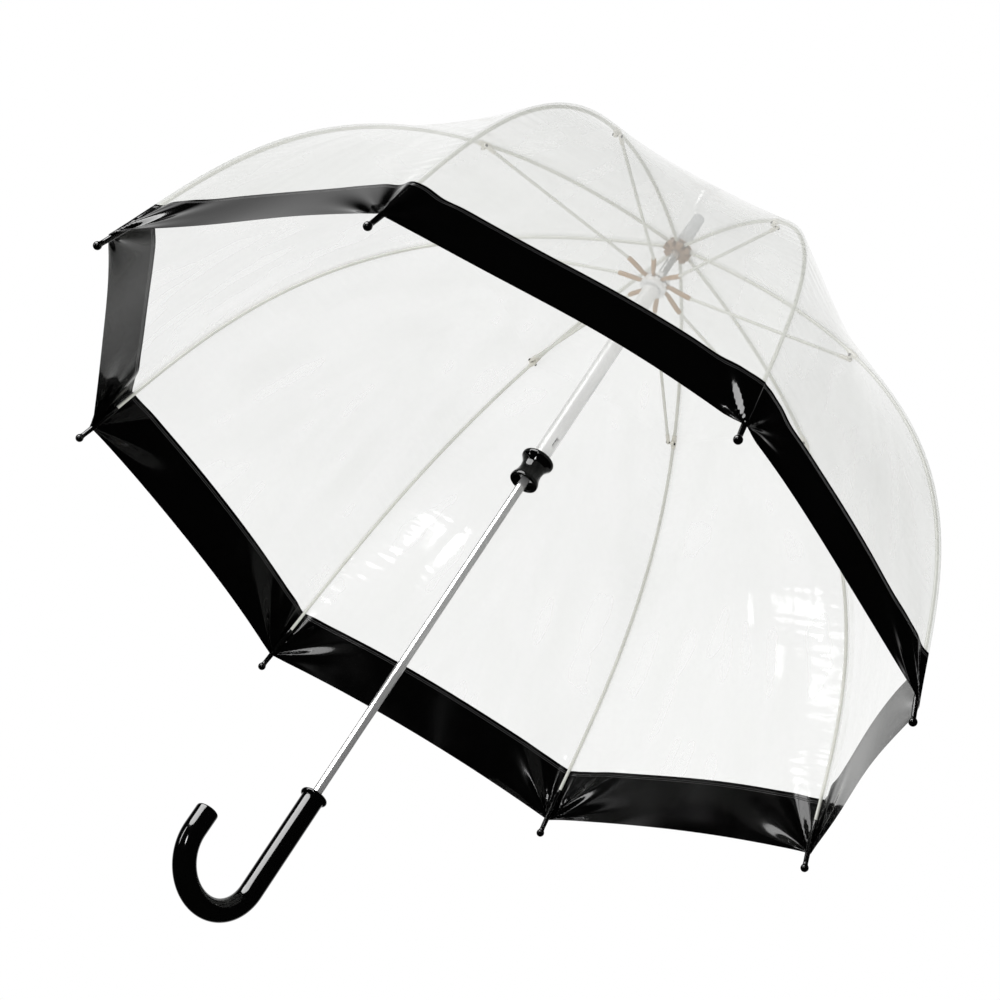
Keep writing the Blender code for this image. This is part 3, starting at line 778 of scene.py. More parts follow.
@dataclass
class Canopy:
    """Film, seams and border, each half gore on its own rib so that the frame can fold."""

    dome: Dome
    curve: Curve
    keep: float = 0.10
    upper_folding: Folding = Folding(math.radians(7.0), 2.0 * MM)
    lower_folding: Folding = Folding(math.radians(20.0), 15.0 * MM)
    columns: int = 44
    crowding: float = 1.15
    rib_fade: float = 4.0 * MM
    pucker: float = 0.45 * MM
    pucker_step: float = 11.0 * MM
    pucker_reach: float = 12.0 * MM
    pleat: float = 2.8 * MM
    pleat_reach: float = 65.0 * MM
    pleat_start: float = 16.0 * MM
    wave: float = 1.6 * MM
    seam_half: float = 1.9 * MM
    seam_out: float = 0.12 * MM
    narrowest: float = 10.0 * MM

    @property
    def rim_at(self) -> float:
        """The length down a rib at which the film ends."""
        return self.curve.length - self.dome.film_end

    @property
    def border_at(self) -> float:
        """The length down a rib at which the border starts."""
        return self.rim_at - self.dome.border

    def smooth_points(self, gore: int, across: Array, down: Array) -> Array:
        """Return points of a gore before its wrinkles.

        A point is on the straight line between the same length down its two ribs, drawn in towards the
        shaft by sag * 4a(1-a) * sin(pi * share^0.8), and the length itself is shortened towards the
        middle by arch * 4a(1-a) * share^2, so that the rim rises between tips.

        Args:
            gore: which gore, from the rib of the same number to the next.
            across: share of the way from one rib to the next.
            down: length down the rib from the notch.

        Returns:
            Points, with 3 as the last axis.
        """
        middle = 4 * across * (1 - across)
        share = np.clip(down / self.rim_at, 0.0, 1.0)
        along = down - self.dome.arch * middle * share**2
        radius, height = self.curve.at(np.clip(along, 0.0, None))
        x, z = self.curve.direction(np.clip(along, 0.0, None))
        radius = radius + np.minimum(along, 0.0) - self.dome.lift * z
        height = height + self.dome.lift * x
        start = self.dome.azimuth(gore)
        end = start + math.tau / RIBS
        flat_x = radius * ((1 - across) * math.cos(start) + across * math.cos(end))
        flat_y = radius * ((1 - across) * math.sin(start) + across * math.sin(end))
        pull = 1 - self.dome.sag * middle * np.sin(np.pi * share**0.8) / np.maximum(radius, 0.01)
        return np.stack([flat_x * pull, flat_y * pull, height], axis=-1)

    def wrinkle(self, gore: int, across: Array, down: Array) -> Array:
        """Return how far a gore stands out of its smooth shape.

        Three things add up: small puckers beside each rib, sin(2 pi s / step) fading away from the rib
        and gone at the border; pleats that fan out from each tip, sin(7 * angle) + 0.35 * sin(15 * angle),
        fading with the distance from it; and a slow wave over the whole gore. All fade to nothing at the
        rib itself.

        Args:
            gore: which gore.
            across: share of the way from one rib to the next.
            down: length down the rib from the notch.

        Returns:
            The height of the wrinkles, in metres.
        """
        radius, _ = self.curve.at(np.clip(down, 0.0, None))
        width = 2 * radius * math.sin(math.pi / RIBS)
        beside = np.minimum(across, 1 - across) * width
        own = 2.4 * gore + 1.7 * (across > 0.5)
        fade = 1 - np.exp(-beside / self.rib_fade)
        running = math.tau * down / self.pucker_step + 2.5 * np.sin(down / (31 * MM) + own)
        left = self.rim_at - down
        above = np.clip((left - self.dome.border) / self.pucker_reach, 0, 1)
        pucker = self.pucker * above * np.sin(running) * np.exp(-beside / self.pucker_reach)
        off = np.hypot(beside, left)
        fan = np.arctan2(left, np.maximum(beside, 1e-6))
        folds = np.sin(7 * fan + own) + 0.35 * np.sin(15 * fan + 2 * own)
        ends = 1 - 4 * across * (1 - across)
        spread = np.exp(-off / self.pleat_reach) * np.clip(off / self.pleat_start, 0, 1)
        pleat = self.pleat * folds * ends * spread
        swing = np.sin(math.tau * across + 0.9 * gore) * np.sin(3 * math.pi * down / self.rim_at + 1.3 * gore)
        wave = self.wave * swing * 4 * across * (1 - across)
        return (pucker + pleat + wave) * fade

    def points(self, gore: int, across: Array, down: Array, out: float = 0.0) -> tuple[Array, Array]:
        """Return points of a gore with its wrinkles, and the way out of it at each.

        Args:
            gore: which gore.
            across: share of the way from one rib to the next.
            down: length down the rib from the notch.
            out: how far to stand off, in metres.

        Returns:
            Points, and unit normals that point out of the dome.
        """
        step_a, step_d = 1e-3, 0.2 * MM

        def bare(a: Array, d: Array) -> Array:
            """Return the smooth gore."""
            return self.smooth_points(gore, a, d)

        def normal(shape: Callable[[Array, Array], Array]) -> Array:
            """Return a shape's normals, from its slopes along and across.

            Args:
                shape: a function of the share across and the length down.

            Returns:
                Unit normals, pointing out of the dome.
            """
            along = shape(across, down + step_d) - shape(across, down - step_d)
            over = shape(across + step_a, down) - shape(across - step_a, down)
            crossed = np.cross(along, over)
            return crossed / np.maximum(np.linalg.norm(crossed, axis=-1, keepdims=True), 1e-12)

        flat = normal(bare)

        def full(a: Array, d: Array) -> Array:
            """Return the gore with its wrinkles."""
            return self.smooth_points(gore, a, d) + flat * (self.wrinkle(gore, a, d) + out)[..., None]

        return full(across, down), normal(full)

    def rows_of(self, stretch: Stretch) -> tuple[Array, str]:
        """Return a stretch's lengths down the rib, and the rib that it rides on.

        Args:
            stretch: which stretch.

        Returns:
            The lengths, and the rib's name without its number.
        """
        clip, end = self.curve.clip_at, self.rim_at
        if stretch is Stretch.UPPER:
            return np.linspace(-2.0 * MM, clip, 64), "rib_upper"
        if stretch is Stretch.LOWER:
            return np.linspace(clip, self.border_at, 84), "rib_lower"
        return np.linspace(self.border_at, end, 52), "rib_lower"

    def fold(self, made: bpy.types.Object, rib: int) -> None:
        """Give a half gore its own copy of its mesh.

        It reads its rib's angle about the shaft, but nothing uses the angle.

        Args:
            made: the piece.
            rib: the rib it rides on.
        """
        angle = self.dome.azimuth(rib)
        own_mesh(made)

    def half_gore(self, rib: int, side: Side, stretch: Stretch) -> bpy.types.Object:
        """Make the film of one stretch between a rib and the middle of the gore beside it.

        Args:
            rib: the rib it rides on.
            side: which side of the rib it is on.
            stretch: which stretch to make.

        Returns:
            The piece.
        """
        gore = rib if side is Side.AHEAD else (rib - 1) % RIBS
        downs, body = self.rows_of(stretch)
        half = np.linspace(0.0, 0.5, self.columns) ** self.crowding * 0.5 ** (1 - self.crowding)
        shares = half if side is Side.AHEAD else 1.0 - half[::-1]
        across, down = np.meshgrid(shares, downs)
        points, normals = self.points(gore, across, down)
        radius, _ = self.curve.at(np.clip(down, 0.0, None))
        width = 2 * radius * math.sin(math.pi / RIBS)
        beside = np.minimum(across, 1.0 - across) * width
        uv = np.stack([beside, down - downs[0]], axis=-1).reshape(-1, 2)
        faces = grid_faces(*across.shape, around=False)[:, ::-1]
        name = f"film_{stretch.value}_{rib}_{side.name.lower()}"
        made = object_from(name, points.reshape(-1, 3), faces, uv)
        made.data.normals_split_custom_set_from_vertices(normals.reshape(-1, 3).tolist())
        dress(made, BORDER if stretch is Stretch.BORDER else FILM)
        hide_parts(f"{'border' if stretch is Stretch.BORDER else 'gore'}_{gore}")
        self.fold(made, rib)
        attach(made, f"{body}_{rib}")
        return made

    def seam(self, rib: int, upper: bool) -> bpy.types.Object:
        """Make the welded seam along a rib, above or below its clip.

        Args:
            rib: the rib it runs along.
            upper: whether it is the part above the clip.

        Returns:
            The piece.
        """
        start, end = (0.0, self.curve.clip_at) if upper else (self.curve.clip_at, self.border_at)
        downs = np.linspace(start, end, 70)
        sides = []
        for side in (Side.BEHIND, Side.AHEAD):
            gore = rib if side is Side.AHEAD else (rib - 1) % RIBS
            offs = np.linspace(0.0, self.seam_half, 4)
            offset, down = np.meshgrid(offs, downs)
            radius, _ = self.curve.at(down)
            share = offset / (2 * np.maximum(radius, 0.012) * math.sin(math.pi / RIBS))
            across = share if side is Side.AHEAD else 1.0 - share
            points, _ = self.points(gore, across, down, out=self.seam_out)
            sides.append(points[:, ::-1] if side is Side.BEHIND else points)
        points = np.concatenate([sides[0][:, :-1], sides[1]], axis=1)
        rows, columns = points.shape[:2]
        across, down = np.meshgrid(np.abs(np.linspace(-1, 1, columns)) * self.seam_half, downs - start)
        uv = np.stack([across, down], axis=-1).reshape(-1, 2)
        faces = grid_faces(rows, columns, around=False)[:, ::-1]
        made = object_from(f"seam_{'upper' if upper else 'lower'}_{rib}", points.reshape(-1, 3), faces, uv)
        dress(made, SEAM)
        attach(made, f"rib_{'upper' if upper else 'lower'}_{rib}")
        return made

    def build(self) -> None:
        """Make every half gore and seam."""
        for rib in range(RIBS):
            for stretch in Stretch:
                for side in Side:
                    self.half_gore(rib, side, stretch)
            for upper in (True, False):
                self.seam(rib, upper)
        log.info("canopy: %d gores", RIBS)


# ---------------------------------------------------------------- ribs and stretchers


@dataclass
class RibSet:
    """Ribs, clips, tips and stretchers."""

    dome: Dome
    curve: Curve
    rod: float = 1.35 * MM
    stretcher_rod: float = 1.25 * MM
    beside: float = 3.7 * MM
    lug: tuple[float, float] = (-4.0 * MM, -3.0 * MM)

    def turn(self, rib: int) -> Array:
        """Return the turn that takes the XZ plane to a rib's plane."""
        return np.array(Matrix.Rotation(self.dome.azimuth(rib), 4, "Z"))

    def placed(self, points: Array, rib: int) -> Array:
        """Turn points of the XZ plane to a rib."""
        return points @ self.turn(rib)[:3, :3].T

    def path(self, start: float, stop: float, count: int) -> Array:
        """Return points along a rib in the XZ plane."""
        radius, height = self.curve.at(np.linspace(start, stop, count))
        return np.stack([radius, np.zeros(count), height], axis=-1)

    def lug_point(self) -> Array:
        """Return the pin that joins a stretcher to its rib, in the XZ plane.

        Returns:
            The pin's middle.
        """
        x, z = self.curve.direction(np.array(self.curve.clip_at))
        radius, height = self.curve.at(np.array(self.curve.clip_at))
        along, out = self.lug
        return np.array([radius + along * x - out * z, 0.0, height + along * z + out * x])

    def finish_piece(
        self, name: str, points: Array, rib: int, finish: Finish, body: str, node: str = ""
    ) -> None:
        """Make, dress and mount one closed piece of a rib.

        Args:
            name: the piece's name, without the rib's number.
            points: its grid in the XZ plane.
            rib: which rib.
            finish: its finish.
            body: the body it rides on, without the rib's number.
            node: the CAD node it stands for, without the rib's number, if it isn't named like the body.
        """
        made = grid_object(f"{name}_{rib}", self.placed(points, rib), around=True)
        mount(made, finish, f"{node or body}_{rib}", f"{body}_{rib}")

    def rod_points(self, start: float, stop: float, count: int) -> Array:
        """Return a rib's rod between two lengths: a circle carried along the curve, with domed ends.

        Args:
            start: where the rod starts, from the notch.
            stop: where it ends.
            count: points along it.

        Returns:
            Its grid of points.
        """
        path = self.path(start, stop, count)
        radii = np.full((count, 2), self.rod)
        return capped(sweep_points(path, radii, 16, SIDEWAYS), 0.3 * MM)

    def clip_points(self) -> Array:
        """Return the sleeve round a rib at its clip: an oval that swells along 10 mm to a ball.

        Returns:
            Its grid of points.
        """
        at = self.curve.clip_at
        offs = np.array([-10.0, -9.8, -9.3, -7.0, -4.0, -1.5, -0.4, 0.6, 1.3, 1.7, 1.9]) * MM
        path = np.concatenate([self.path(at + off, at + off, 1) for off in offs])
        across = np.array([1.4, 1.75, 1.9, 1.95, 2.0, 2.0, 2.0, 1.85, 1.5, 1.0, 0.5]) * MM
        deep = np.array([1.4, 1.7, 1.85, 2.0, 2.15, 2.15, 2.1, 1.9, 1.5, 1.0, 0.5]) * MM
        return capped(sweep_points(path, np.stack([across, deep], axis=1), 20, SIDEWAYS))

    def lug_points(self) -> Array:
        """Return the lug below the clip: an oval post from the sleeve to the pin, with a round end.

        Returns:
            Its grid of points.
        """
        radius, height = self.curve.at(np.array(self.curve.clip_at - 4.0 * MM))
        top, pin = np.array([radius, 0.0, height]), self.lug_point()
        way = (pin - top) / np.linalg.norm(pin - top)
        stops = np.array([0.0, 0.5, 1.0, 1.35, 1.55, 1.66])[:, None] * np.linalg.norm(pin - top)
        path = top + way * stops
        sizes = np.array([[1.9, 2.4], [1.9, 2.0], [1.9, 1.8], [1.8, 1.5], [1.5, 1.0], [1.0, 0.5]]) * MM
        return capped(sweep_points(path, sizes, 18, SIDEWAYS))

    def across_pin(self, at: Array, low: float, high: float, radius: float, head: float) -> Array:
        """Return a pin along Y: a lathed stem with a domed head at each end.

        Args:
            at: a point on its line.
            low: its start along Y.
            high: its end along Y.
            radius: the stem's radius.
            head: the heads' radius.

        Returns:
            Its grid of points.
        """
        edge = 0.35 * MM
        outline = [(0.0, low - edge), (head * 0.7, low - edge * 0.8), (head, low), (head, low + edge)]
        outline += [(radius, low + edge), (radius, high - edge), (head, high - edge), (head, high)]
        outline += [(head * 0.7, high + edge * 0.8), (0.0, high + edge)]
        place = np.array(Matrix.Translation(Vector(at)) @ Matrix.Rotation(-math.pi / 2, 4, "X"))
        return lathe_points(np.array(outline), 18, place)

    def tip_points(self) -> Array:
        """Return a tip: a long sleeve carried along the rib, a slight neck, and a ball.

        Returns:
            Its grid of points.
        """
        end = self.curve.length
        backs = np.array([38.4, 38.65, 38.7, 38.5, 37.9, 34.0, 26.0, 18.0, 13.0, 9.0, 6.0, 4.2, 3.0]) * MM
        radii = np.array([1.45, 1.7, 2.0, 2.2, 2.3, 2.35, 2.3, 2.2, 2.1, 2.05, 2.0, 1.98, 2.1]) * MM
        turn = np.linspace(0.85, math.pi, 12)[:-1]
        backs = np.concatenate([backs, self.dome.ball * np.cos(turn)])
        radii = np.concatenate([radii, self.dome.ball * np.sin(turn)])
        radius, height = self.curve.at(np.minimum(end - backs, end))
        x, z = self.curve.direction(np.array(end - 5 * MM))
        past = np.maximum(-backs, 0.0)
        path = np.stack([radius + past * x, np.zeros_like(backs), height + past * z], axis=-1)
        ahead_r, ahead_z = self.curve.direction(np.clip(end - backs, 0.0, end - 5 * MM))
        up = np.stack([-ahead_z, np.zeros_like(backs), ahead_r], axis=-1)
        angle = np.linspace(0.0, math.tau, 22, endpoint=False)
        ring = np.cos(angle)[None, :, None] * SIDEWAYS + np.sin(angle)[None, :, None] * up[:, None, :]
        return capped(path[:, None, :] + radii[:, None, None] * ring)

    def stretcher_line(self) -> tuple[Array, Array, float]:
        """Return a stretcher's start and direction in the XZ plane, and its length.

        Returns:
            The start, the unit direction and the length.
        """
        at = JOINTS["stretcher_0_swing"]["pos_m"]
        start = np.array([math.hypot(at[0], at[1]), 0.0, at[2]])
        way = self.lug_point() - start
        size = float(np.linalg.norm(way))
        return start, way / size, size

    def stretcher_points(self, stops: Array, sides: Array, sizes: Array, columns: int = 16) -> Array:
        """Return a length of a stretcher.

        Args:
            stops: lengths from the crown pivot, in metres.
            sides: how far beside the rib's plane it runs at each.
            sizes: the half widths at each, along Y and across.
            columns: points round it.

        Returns:
            Its grid of points.
        """
        start, way, _ = self.stretcher_line()
        path = start + stops[:, None] * way + sides[:, None] * SIDEWAYS
        return capped(sweep_points(path, sizes, columns, SIDEWAYS), 0.2 * MM)

    def arm_points(self) -> Array:
        """Return the tan fitting at a stretcher's inner end: a flat eye that slants out to a round sleeve.

        Returns:
            Its grid of points.
        """
        stops = np.array([-1.85, -1.7, -1.2, 0.0, 1.2, 2.6, 5.0, 8.0, 13.0, 18.0, 21.5, 22.0]) * MM
        sides = np.array([0, 0, 0, 0, 0, 0, 0, 0.25, 0.55, 0.88, 1.0, 1.0]) * self.beside
        wide = np.array([0.5, 0.9, 1.15, 1.2, 1.2, 1.2, 1.4, 1.7, 1.9, 1.9, 1.9, 1.6]) * MM
        deep = np.array([0.5, 0.95, 1.5, 1.9, 1.75, 1.7, 1.9, 2.0, 2.0, 1.95, 1.9, 1.6]) * MM
        return self.stretcher_points(stops, sides, np.stack([wide, deep], axis=1))

    def build_rib(self, rib: int) -> None:
        """Make one rib with its clip, pin, tip and stretcher.

        Args:
            rib: which rib.
        """
        clip, end = self.curve.clip_at, self.curve.length
        upper = self.rod_points(0.4 * MM, clip - 1.0 * MM, 50)
        lower = self.rod_points(clip + 0.2 * MM, end - 30 * MM, 70)
        self.finish_piece("rib_rod_upper", upper, rib, ROD, "rib_upper")
        self.finish_piece("rib_clip", self.clip_points(), rib, CLIP, "rib_upper")
        self.finish_piece("rib_lug", self.lug_points(), rib, CLIP, "rib_upper")
        self.finish_piece("rib_rod_lower", lower, rib, ROD, "rib_lower")
        self.finish_piece("rib_tip", self.tip_points(), rib, BLACK, "rib_lower", "tip")
        pin = self.across_pin(self.lug_point(), -2.3 * MM, self.beside + 1.5 * MM, 0.7 * MM, 1.15 * MM)
        self.finish_piece("rib_pin", pin, rib, PIN_DARK, "rib_upper")
        _, _, size = self.stretcher_line()
        stops = np.linspace(20.5 * MM, size - 1.0 * MM, 30)
        rod = self.stretcher_points(stops, np.full(30, self.beside), np.full((30, 2), self.stretcher_rod))
        self.finish_piece("stretcher_rod", rod, rib, ROD, "stretcher")
        self.finish_piece("stretcher_arm", self.arm_points(), rib, ARM_TAN, "stretcher")
        self.finish_piece("stretcher_eye", self.eye_points(size), rib, CLIP, "stretcher")

    def eye_points(self, size: float) -> Array:
        """Return the cream eye at a stretcher's outer end, on a stretcher of the given length.

        Args:
            size: the stretcher's length.

        Returns:
            Its grid of points.
        """
        stops = size + np.array([-9.0, -8.6, -7.0, -3.0, -1.5, 0.0, 1.2, 1.75, 1.9]) * MM
        wide = np.array([1.3, 1.6, 1.65, 1.5, 1.25, 1.2, 1.15, 0.8, 0.4]) * MM
        deep = np.array([1.3, 1.6, 1.65, 1.7, 1.9, 1.95, 1.5, 0.9, 0.4]) * MM
        return self.stretcher_points(stops, np.full(9, self.beside), np.stack([wide, deep], axis=1))

    def build(self) -> None:
        """Make every rib."""
        for rib in range(RIBS):
            self.build_rib(rib)
        log.info("ribs: %d", RIBS)


# ---------------------------------------------------------------- shaft, handle and runner


def pierced_tube(
    name: str, radii: tuple[float, float], ends: tuple[float, float], holes: list[tuple[float, ...]]
) -> bpy.types.Object:
    """Make a tube with windows in its wall.

    The outer wall is a grid over angle and height whose lines pass through the windows' edges. The
    quads inside a window are left out, and the rest is given its thickness inwards.

    Args:
        name: the piece's name.
        radii: its outer and inner radius.
        ends: its low and high end.
        holes: for each window, its angle about Z, its half width, and its low and high edge.

    Returns:
        The piece.
    """
    outer, inner = radii
    angles = set(np.linspace(0.0, math.tau, 48, endpoint=False).round(9))
    heights = set(np.linspace(ends[0], ends[1], 60).round(9))
    for turn, half, low, high in holes:
        spread = math.asin(half / outer)
        angles |= {round((turn + s) % math.tau, 9) for s in (-spread, spread)}
        heights |= {round(low, 9), round(high, 9)}
    angle, height = np.array(sorted(angles)), np.array(sorted(heights))
    grid_a, grid_z = np.meshgrid(angle, height)
    points = np.stack([outer * np.cos(grid_a), outer * np.sin(grid_a), grid_z], axis=-1)
    uv = np.stack([grid_a / math.tau, grid_z - ends[0]], axis=-1).reshape(-1, 2)
    faces = grid_faces(len(height), len(angle), around=True)
    flat = points.reshape(-1, 3)
    middle = flat[faces].mean(axis=1)
    keep = np.ones(len(faces), dtype=bool)
    for turn, half, low, high in holes:
        facing = middle[:, 0] * math.cos(turn) + middle[:, 1] * math.sin(turn)
        aside = np.abs(-middle[:, 0] * math.sin(turn) + middle[:, 1] * math.cos(turn))
        inside = (facing > 0) & (aside < half) & (middle[:, 2] > low) & (middle[:, 2] < high)
        keep &= ~inside
    made = object_from(name, flat, faces[keep], uv)
    wall = made.modifiers.new("wall", "SOLIDIFY")
    wall.thickness = outer - inner
    wall.offset = -1.0
    wall.use_even_offset = True
    made.data.set_sharp_from_angle(angle=math.radians(40.0))
    return made


@dataclass
class Handle:
    """The crook handle: a lip at its mouth, a straight grip, a half turn and a short hook."""

    bore: float = 3.6 * MM

    def build(self) -> None:
        """Make the handle as one skin carried along its bent middle line.

        The middle line is straight down, then half a circle, then straight up. Its radius along the way
        gives the mouth, the rolled lip, the grip and the rounded flat end.
        """
        low, high = (np.array(corner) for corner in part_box("handle_crook"))
        lip, top = (high[1] - low[1]) / 2, high[2]
        hook_x, _, hook_z = next(m["pos_m"] for m in frame["record"]["mounts"] if m["name"] == "hook_end")
        grip = hook_x - low[0]
        bend = -hook_x / 2
        bend_z = low[2] + grip + bend
        straight, arc, rise = top - bend_z, math.pi * bend, hook_z - bend_z
        total = straight + arc + rise
        profile = [
            (1.2 * MM, self.bore),
            (0.2 * MM, self.bore + 0.1 * MM),
            (0.0, self.bore + 0.5 * MM),
            (0.0, lip - 1.6 * MM),
            (0.15 * MM, lip - 0.8 * MM),
            (0.5 * MM, lip - 0.3 * MM),
            (1.1 * MM, lip),
            (2.0 * MM, lip),
            (2.7 * MM, lip - 0.35 * MM),
            (3.2 * MM, lip - 0.9 * MM),
            (3.7 * MM, grip + 0.15 * MM),
            (4.6 * MM, grip),
        ]
        profile += [(s, grip) for s in np.linspace(7 * MM, straight, 14)]
        profile += [(s, grip) for s in np.linspace(straight, straight + arc, 60)[1:]]
        profile += [(s, grip) for s in np.linspace(straight + arc, total - 1.6 * MM, 8)[1:]]
        profile += [
            (total - 1.0 * MM, grip - 0.08 * MM),
            (total - 0.55 * MM, grip - 0.3 * MM),
            (total - 0.2 * MM, grip - 0.65 * MM),
            (total - 0.02 * MM, grip - 1.15 * MM),
            (total, grip - 1.8 * MM),
            (total, grip - 4.0 * MM),
            (total, 0.0),
        ]
        along, radius = np.array(profile).T
        turn = np.clip((along - straight) / bend, 0.0, math.pi)
        down = np.minimum(along, straight)
        up = np.maximum(along - straight - arc, 0.0)
        x = bend * (np.cos(turn) - 1.0)
        z = top - down - bend * np.sin(turn) + up
        ahead = np.stack([-np.sin(turn), np.zeros_like(turn), -np.cos(turn)], axis=1)
        square = np.cross(SIDEWAYS, ahead)
        angle = np.linspace(0.0, math.tau, 56, endpoint=False)
        ring = np.cos(angle)[None, :, None] * SIDEWAYS + np.sin(angle)[None, :, None] * square[:, None, :]
        points = np.stack([x, np.zeros_like(x), z], axis=1)[:, None, :] + radius[:, None, None] * ring
        well = np.array([[0.0, 0.0, top - 2.0 * MM]])
        inner = np.broadcast_to(well, points[0].shape)
        made = grid_object("crook_handle", np.concatenate([[inner], points]), around=True)
        mount(made, BLACK, "handle_crook", "shaft")
        log.info("handle: %.1f mm grip", 2000 * grip)


@dataclass
class Shaft:
    """The chrome tube, the ferrule, the top notch and the catches."""

    wall: float = 0.6 * MM
    slot_half: float = 0.9 * MM
    slot_reach: tuple[float, float] = (7.0 * MM, 3.4 * MM)

    def build(self) -> None:
        """Make the tube and the ferrule, and dress the pieces that stay.

        Each catch's slot reaches further to its leaf's side of the nose than to the other.
        """
        low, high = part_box("shaft")
        radius = (high[0] - low[0]) / 2
        holes = []
        for name, turn, way in (("top_catch", -math.pi / 2, 1.0), ("bottom_catch", math.pi / 2, -1.0)):
            foot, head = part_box(name)
            nose = (foot[2] if way > 0 else head[2]) + way * NOSE_IN
            ends = sorted((nose - way * self.slot_reach[0], nose + way * self.slot_reach[1]))
            holes.append((turn % math.tau, self.slot_half, *ends))
        tube = pierced_tube("shaft_tube", (radius, radius - self.wall), (low[2], high[2]), holes)
        mount(tube, CHROME, "shaft", "shaft")
        self.build_ferrule()
        repaint("top_notch", TAN)
        repaint("notch_wire", WIRE)
        repaint("top_catch", SPRING)
        repaint("bottom_catch", SPRING)
        log.info("shaft: %.1f mm", 2000 * radius)

    def build_ferrule(self) -> None:
        """Make the ferrule: a flanged cap that narrows to a rounded, flat-ended point."""
        low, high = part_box("ferrule")
        foot, tip = low[2], high[2]
        wide = (high[0] - low[0]) / 2
        outline = [
            (0.0, foot),
            (wide - 0.2 * MM, foot),
            (wide, foot + 0.8 * MM),
            (wide - 0.15 * MM, foot + 3.5 * MM),
            (wide - 0.75 * MM, foot + 4.4 * MM),
            (wide - 0.95 * MM, foot + 12.0 * MM),
            (4.9 * MM, tip - 1.2 * MM),
            (4.2 * MM, tip),
            (0.0, tip),
        ]
        made = grid_object("ferrule_cap", lathe_points(rounded(outline, 0.7 * MM), 48), around=True)
        mount(made, GREY, "ferrule", "shaft")


@dataclass
class Runner:
    """The white sleeve with its two windows and a slit, the black spool and the slotted crown."""

    bore: float = 3.8 * MM
    window_half: float = 1.6 * MM
    window_ends: tuple[float, float] = (-5.5 * MM, 2.9 * MM)
    slit_turn: float = math.radians(-57.0)
    slit_half: float = 0.8 * MM
    slit_ends: tuple[float, float] = (83.0 * MM, 112.0 * MM)

    def build(self) -> None:
        """Make the sleeve and the spool, and dress the crown and its wire."""
        low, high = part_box("runner_tube")
        radius = (high[0] - low[0]) / 2
        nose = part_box("top_catch")[0][2] + NOSE_IN
        edges = [nose + end for end in self.window_ends]
        holes = [(turn, self.window_half, *edges) for turn in (math.pi / 2, 3 * math.pi / 2)]
        holes.append((self.slit_turn % math.tau, self.slit_half, *(low[2] + end for end in self.slit_ends)))
        sleeve = pierced_tube("runner_sleeve", (radius, self.bore), (low[2], high[2]), holes)
        mount(sleeve, WHITE, "runner_tube", "runner")
        self.build_spool()
        repaint("runner_crown", WHITE)
        repaint("runner_wire", WIRE)
        log.info("runner: %.1f mm", 2000 * radius)

    def build_spool(self) -> None:
        """Make the spool: two flanges, a smooth waist and a hollow foot, as one lathed skin."""
        low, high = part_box("runner_spool")
        foot, head = low[2], high[2]
        outline = [
            (6.7 * MM, foot + 6.2 * MM),
            (6.7 * MM, head),
            (12.0 * MM, head),
            (12.8 * MM, head - 1.0 * MM),
            (12.8 * MM, head - 3.0 * MM),
            (11.2 * MM, head - 5.0 * MM),
            (9.4 * MM, head - 8.5 * MM),
            (8.9 * MM, head - 13.0 * MM),
            (9.4 * MM, head - 17.0 * MM),
            (10.6 * MM, head - 20.5 * MM),
            (11.2 * MM, foot + 3.0 * MM),
            (11.2 * MM, foot + 0.8 * MM),
            (10.6 * MM, foot),
            (9.2 * MM, foot),
            (8.0 * MM, foot + 5.0 * MM),
            (6.7 * MM, foot + 6.2 * MM),
        ]
        made = grid_object("spool_grip", lathe_points(rounded(outline, 0.9 * MM), 64), around=True)
        mount(made, BLACK, "runner_spool", "runner")


# ---------------------------------------------------------------- studio


@dataclass(frozen=True)
class SoftBox:
    """An oval light: where it hangs, as seen from its target, and how bright its face is.

    The way to it and the way its long side runs are along the camera's right, up and back. One that is
    gloss_only shows in gloss and doesn't light matt surfaces.
    """

    name: str
    way: tuple[float, float, float]
    long: tuple[float, float, float]
    size: tuple[float, float]
    radiance: float
    target: tuple[float, float, float] = (0.0, 0.0, 0.3)
    distance: float = 1.9
    gloss_only: bool = False


SOFT_BOXES = (
    SoftBox(
        "top_box",
        (-0.26, 0.956, 0.13),
        (-0.655, -0.083, -0.751),
        (1.9, 1.1),
        12.0,
        target=(0.0, 0.0, 0.0),
        gloss_only=True,
    ),
    SoftBox("key_box", (-0.28, 0.40, 0.88), (0.0, 1.0, 0.0), (0.40, 0.20), 28.0),
    SoftBox("left_box", (-0.86, 0.47, 0.2), (0.0, 1.0, 0.0), (0.9, 0.25), 11.0),
)


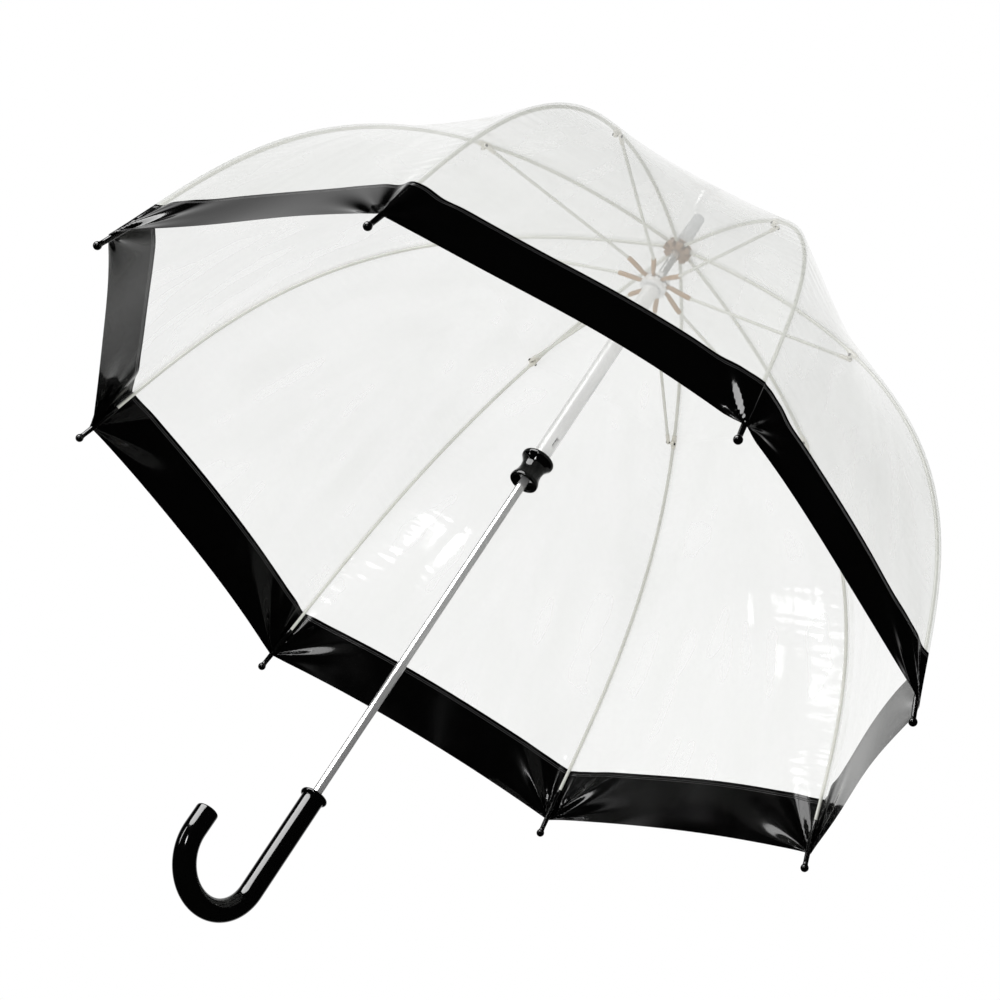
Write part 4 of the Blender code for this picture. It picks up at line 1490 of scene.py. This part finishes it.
@dataclass
class Studio:
    """A white surround, a pale floor, soft boxes and the camera."""

    lens_mm: float = 100.05
    place: tuple[float, float, float] = (-1.04315, -1.42613, -0.70079)
    right: tuple[float, float, float] = (0.51016, -0.71270, 0.48144)
    up: tuple[float, float, float] = (-0.69349, -0.00977, 0.72040)
    wall: tuple[float, float, float] = (0.50873, 0.70140, 0.49924)
    wall_edge: tuple[float, float] = (0.68, 0.92)
    wall_glow: tuple[float, float] = (0.004, 1.0)
    even_glow: float = 0.80
    floor_half: float = 40.0
    floor_height: float = -1.25
    film_layers: int = 48

    def camera(self) -> bpy.types.Object:
        """Add the camera, below the canopy and turned so that the shaft runs from low left to high right.

        Returns:
            The camera.
        """
        data = bpy.data.cameras.new("camera")
        data.lens = self.lens_mm
        data.sensor_width = 36.0
        data.clip_end = 50.0
        made = bpy.data.objects.new("camera", data)
        bpy.context.scene.collection.objects.link(made)
        right, up = Vector(self.right).normalized(), Vector(self.up).normalized()
        back = right.cross(up).normalized()
        up = back.cross(right)
        turn = Matrix((right, up, back)).transposed().to_4x4()
        made.matrix_world = Matrix.Translation(Vector(self.place)) @ turn
        bpy.context.scene.camera = made
        return made

    def surround(self) -> None:
        """Make the world white to the eye and an even grey to matt surfaces.

        Glossy surfaces see a white wall beyond the umbrella and a dark studio on the camera's side: the
        wall's strength goes between the two values of wall_glow as the dot product of their direction and
        the wall's goes between those of wall_edge.
        """
        world = bpy.data.worlds.new("studio")
        bpy.context.scene.world = world
        world.use_nodes = True
        nodes = Nodes(world.node_tree)
        world.node_tree.nodes.clear()
        world.cycles.sampling_method = "NONE"
        path = nodes.add("LightPath")
        way = nodes.add("TexCoord").outputs["Generated"]
        toward = nodes.add("VectorMath", operation="DOT_PRODUCT", _0=way, _1=self.wall)
        ends = dict(zip(("From_Min", "From_Max", "To_Min", "To_Max"), (*self.wall_edge, *self.wall_glow)))
        wall = nodes.add("MapRange", Value=toward.outputs["Value"], **ends)
        strengths = (1.0, self.even_glow, wall.outputs["Result"])
        white = (1.0, 1.0, 1.0, 1.0)
        seen, even, gloss = (nodes.add("Background", Color=white, Strength=s).outputs[0] for s in strengths)
        matt = nodes.add("MixShader", _0=path.outputs["Is Glossy Ray"], _1=even, _2=gloss)
        full = nodes.add("MixShader", _0=path.outputs["Is Camera Ray"], _1=matt.outputs[0], _2=seen)
        result = nodes.add("OutputWorld")
        nodes.feed(result.inputs["Surface"], full.outputs[0])

    def world_way(self, way: tuple[float, float, float]) -> Vector:
        """Turn a direction given along the camera's right, up and back into the frame's axes."""
        right, up = Vector(self.right), Vector(self.up)
        return (right * way[0] + up * way[1] + right.cross(up) * way[2]).normalized()

    def soft_box(self, box: SoftBox) -> None:
        """Hang a soft box so that it faces its target.

        Args:
            box: the light to hang.
        """
        data = bpy.data.lights.new(box.name, "AREA")
        data.shape = "ELLIPSE"
        data.size, data.size_y = box.size
        data.energy = box.radiance * math.pi * math.pi / 4 * box.size[0] * box.size[1]
        made = bpy.data.objects.new(box.name, data)
        away = self.world_way(box.way)
        long = self.world_way(box.long)
        long = (long - away * long.dot(away)).normalized()
        turn = Matrix((long, away.cross(long), away)).transposed().to_4x4()
        made.matrix_world = Matrix.Translation(Vector(box.target) + away * box.distance) @ turn
        made.visible_camera = False
        made.visible_diffuse = not box.gloss_only
        bpy.context.scene.collection.objects.link(made)

    def floor(self) -> None:
        """Add a plain pale floor well below the camera."""
        signs = np.array([[-1.0, -1.0], [1.0, -1.0], [1.0, 1.0], [-1.0, 1.0]])
        corners = np.column_stack([signs * self.floor_half, np.full(4, self.floor_height)])
        made = object_from("floor", corners, np.array([[0, 1, 2, 3]]))
        made.data.materials.append(PALE_FLOOR.material())
        made.visible_glossy = False

    def build(self) -> None:
        """Set the whole studio up."""
        self.camera()
        self.surround()
        for box in SOFT_BOXES:
            self.soft_box(box)
        self.floor()
        scene = bpy.context.scene
        scene.view_settings.view_transform = "Standard"
        scene.cycles.transparent_max_bounces = self.film_layers


def main() -> None:
    """Build every group in order, then the studio."""
    logging.basicConfig(level=logging.INFO, format="%(message)s")
    for group in (grain_group, streak_group, line_group):
        group()
    dome = Dome()
    curve = Curve(dome)
    Shaft().build()
    Handle().build()
    Runner().build()
    RibSet(dome, curve).build()
    Canopy(dome, curve).build()
    Studio().build()


if __name__ == "__main__":
    main()
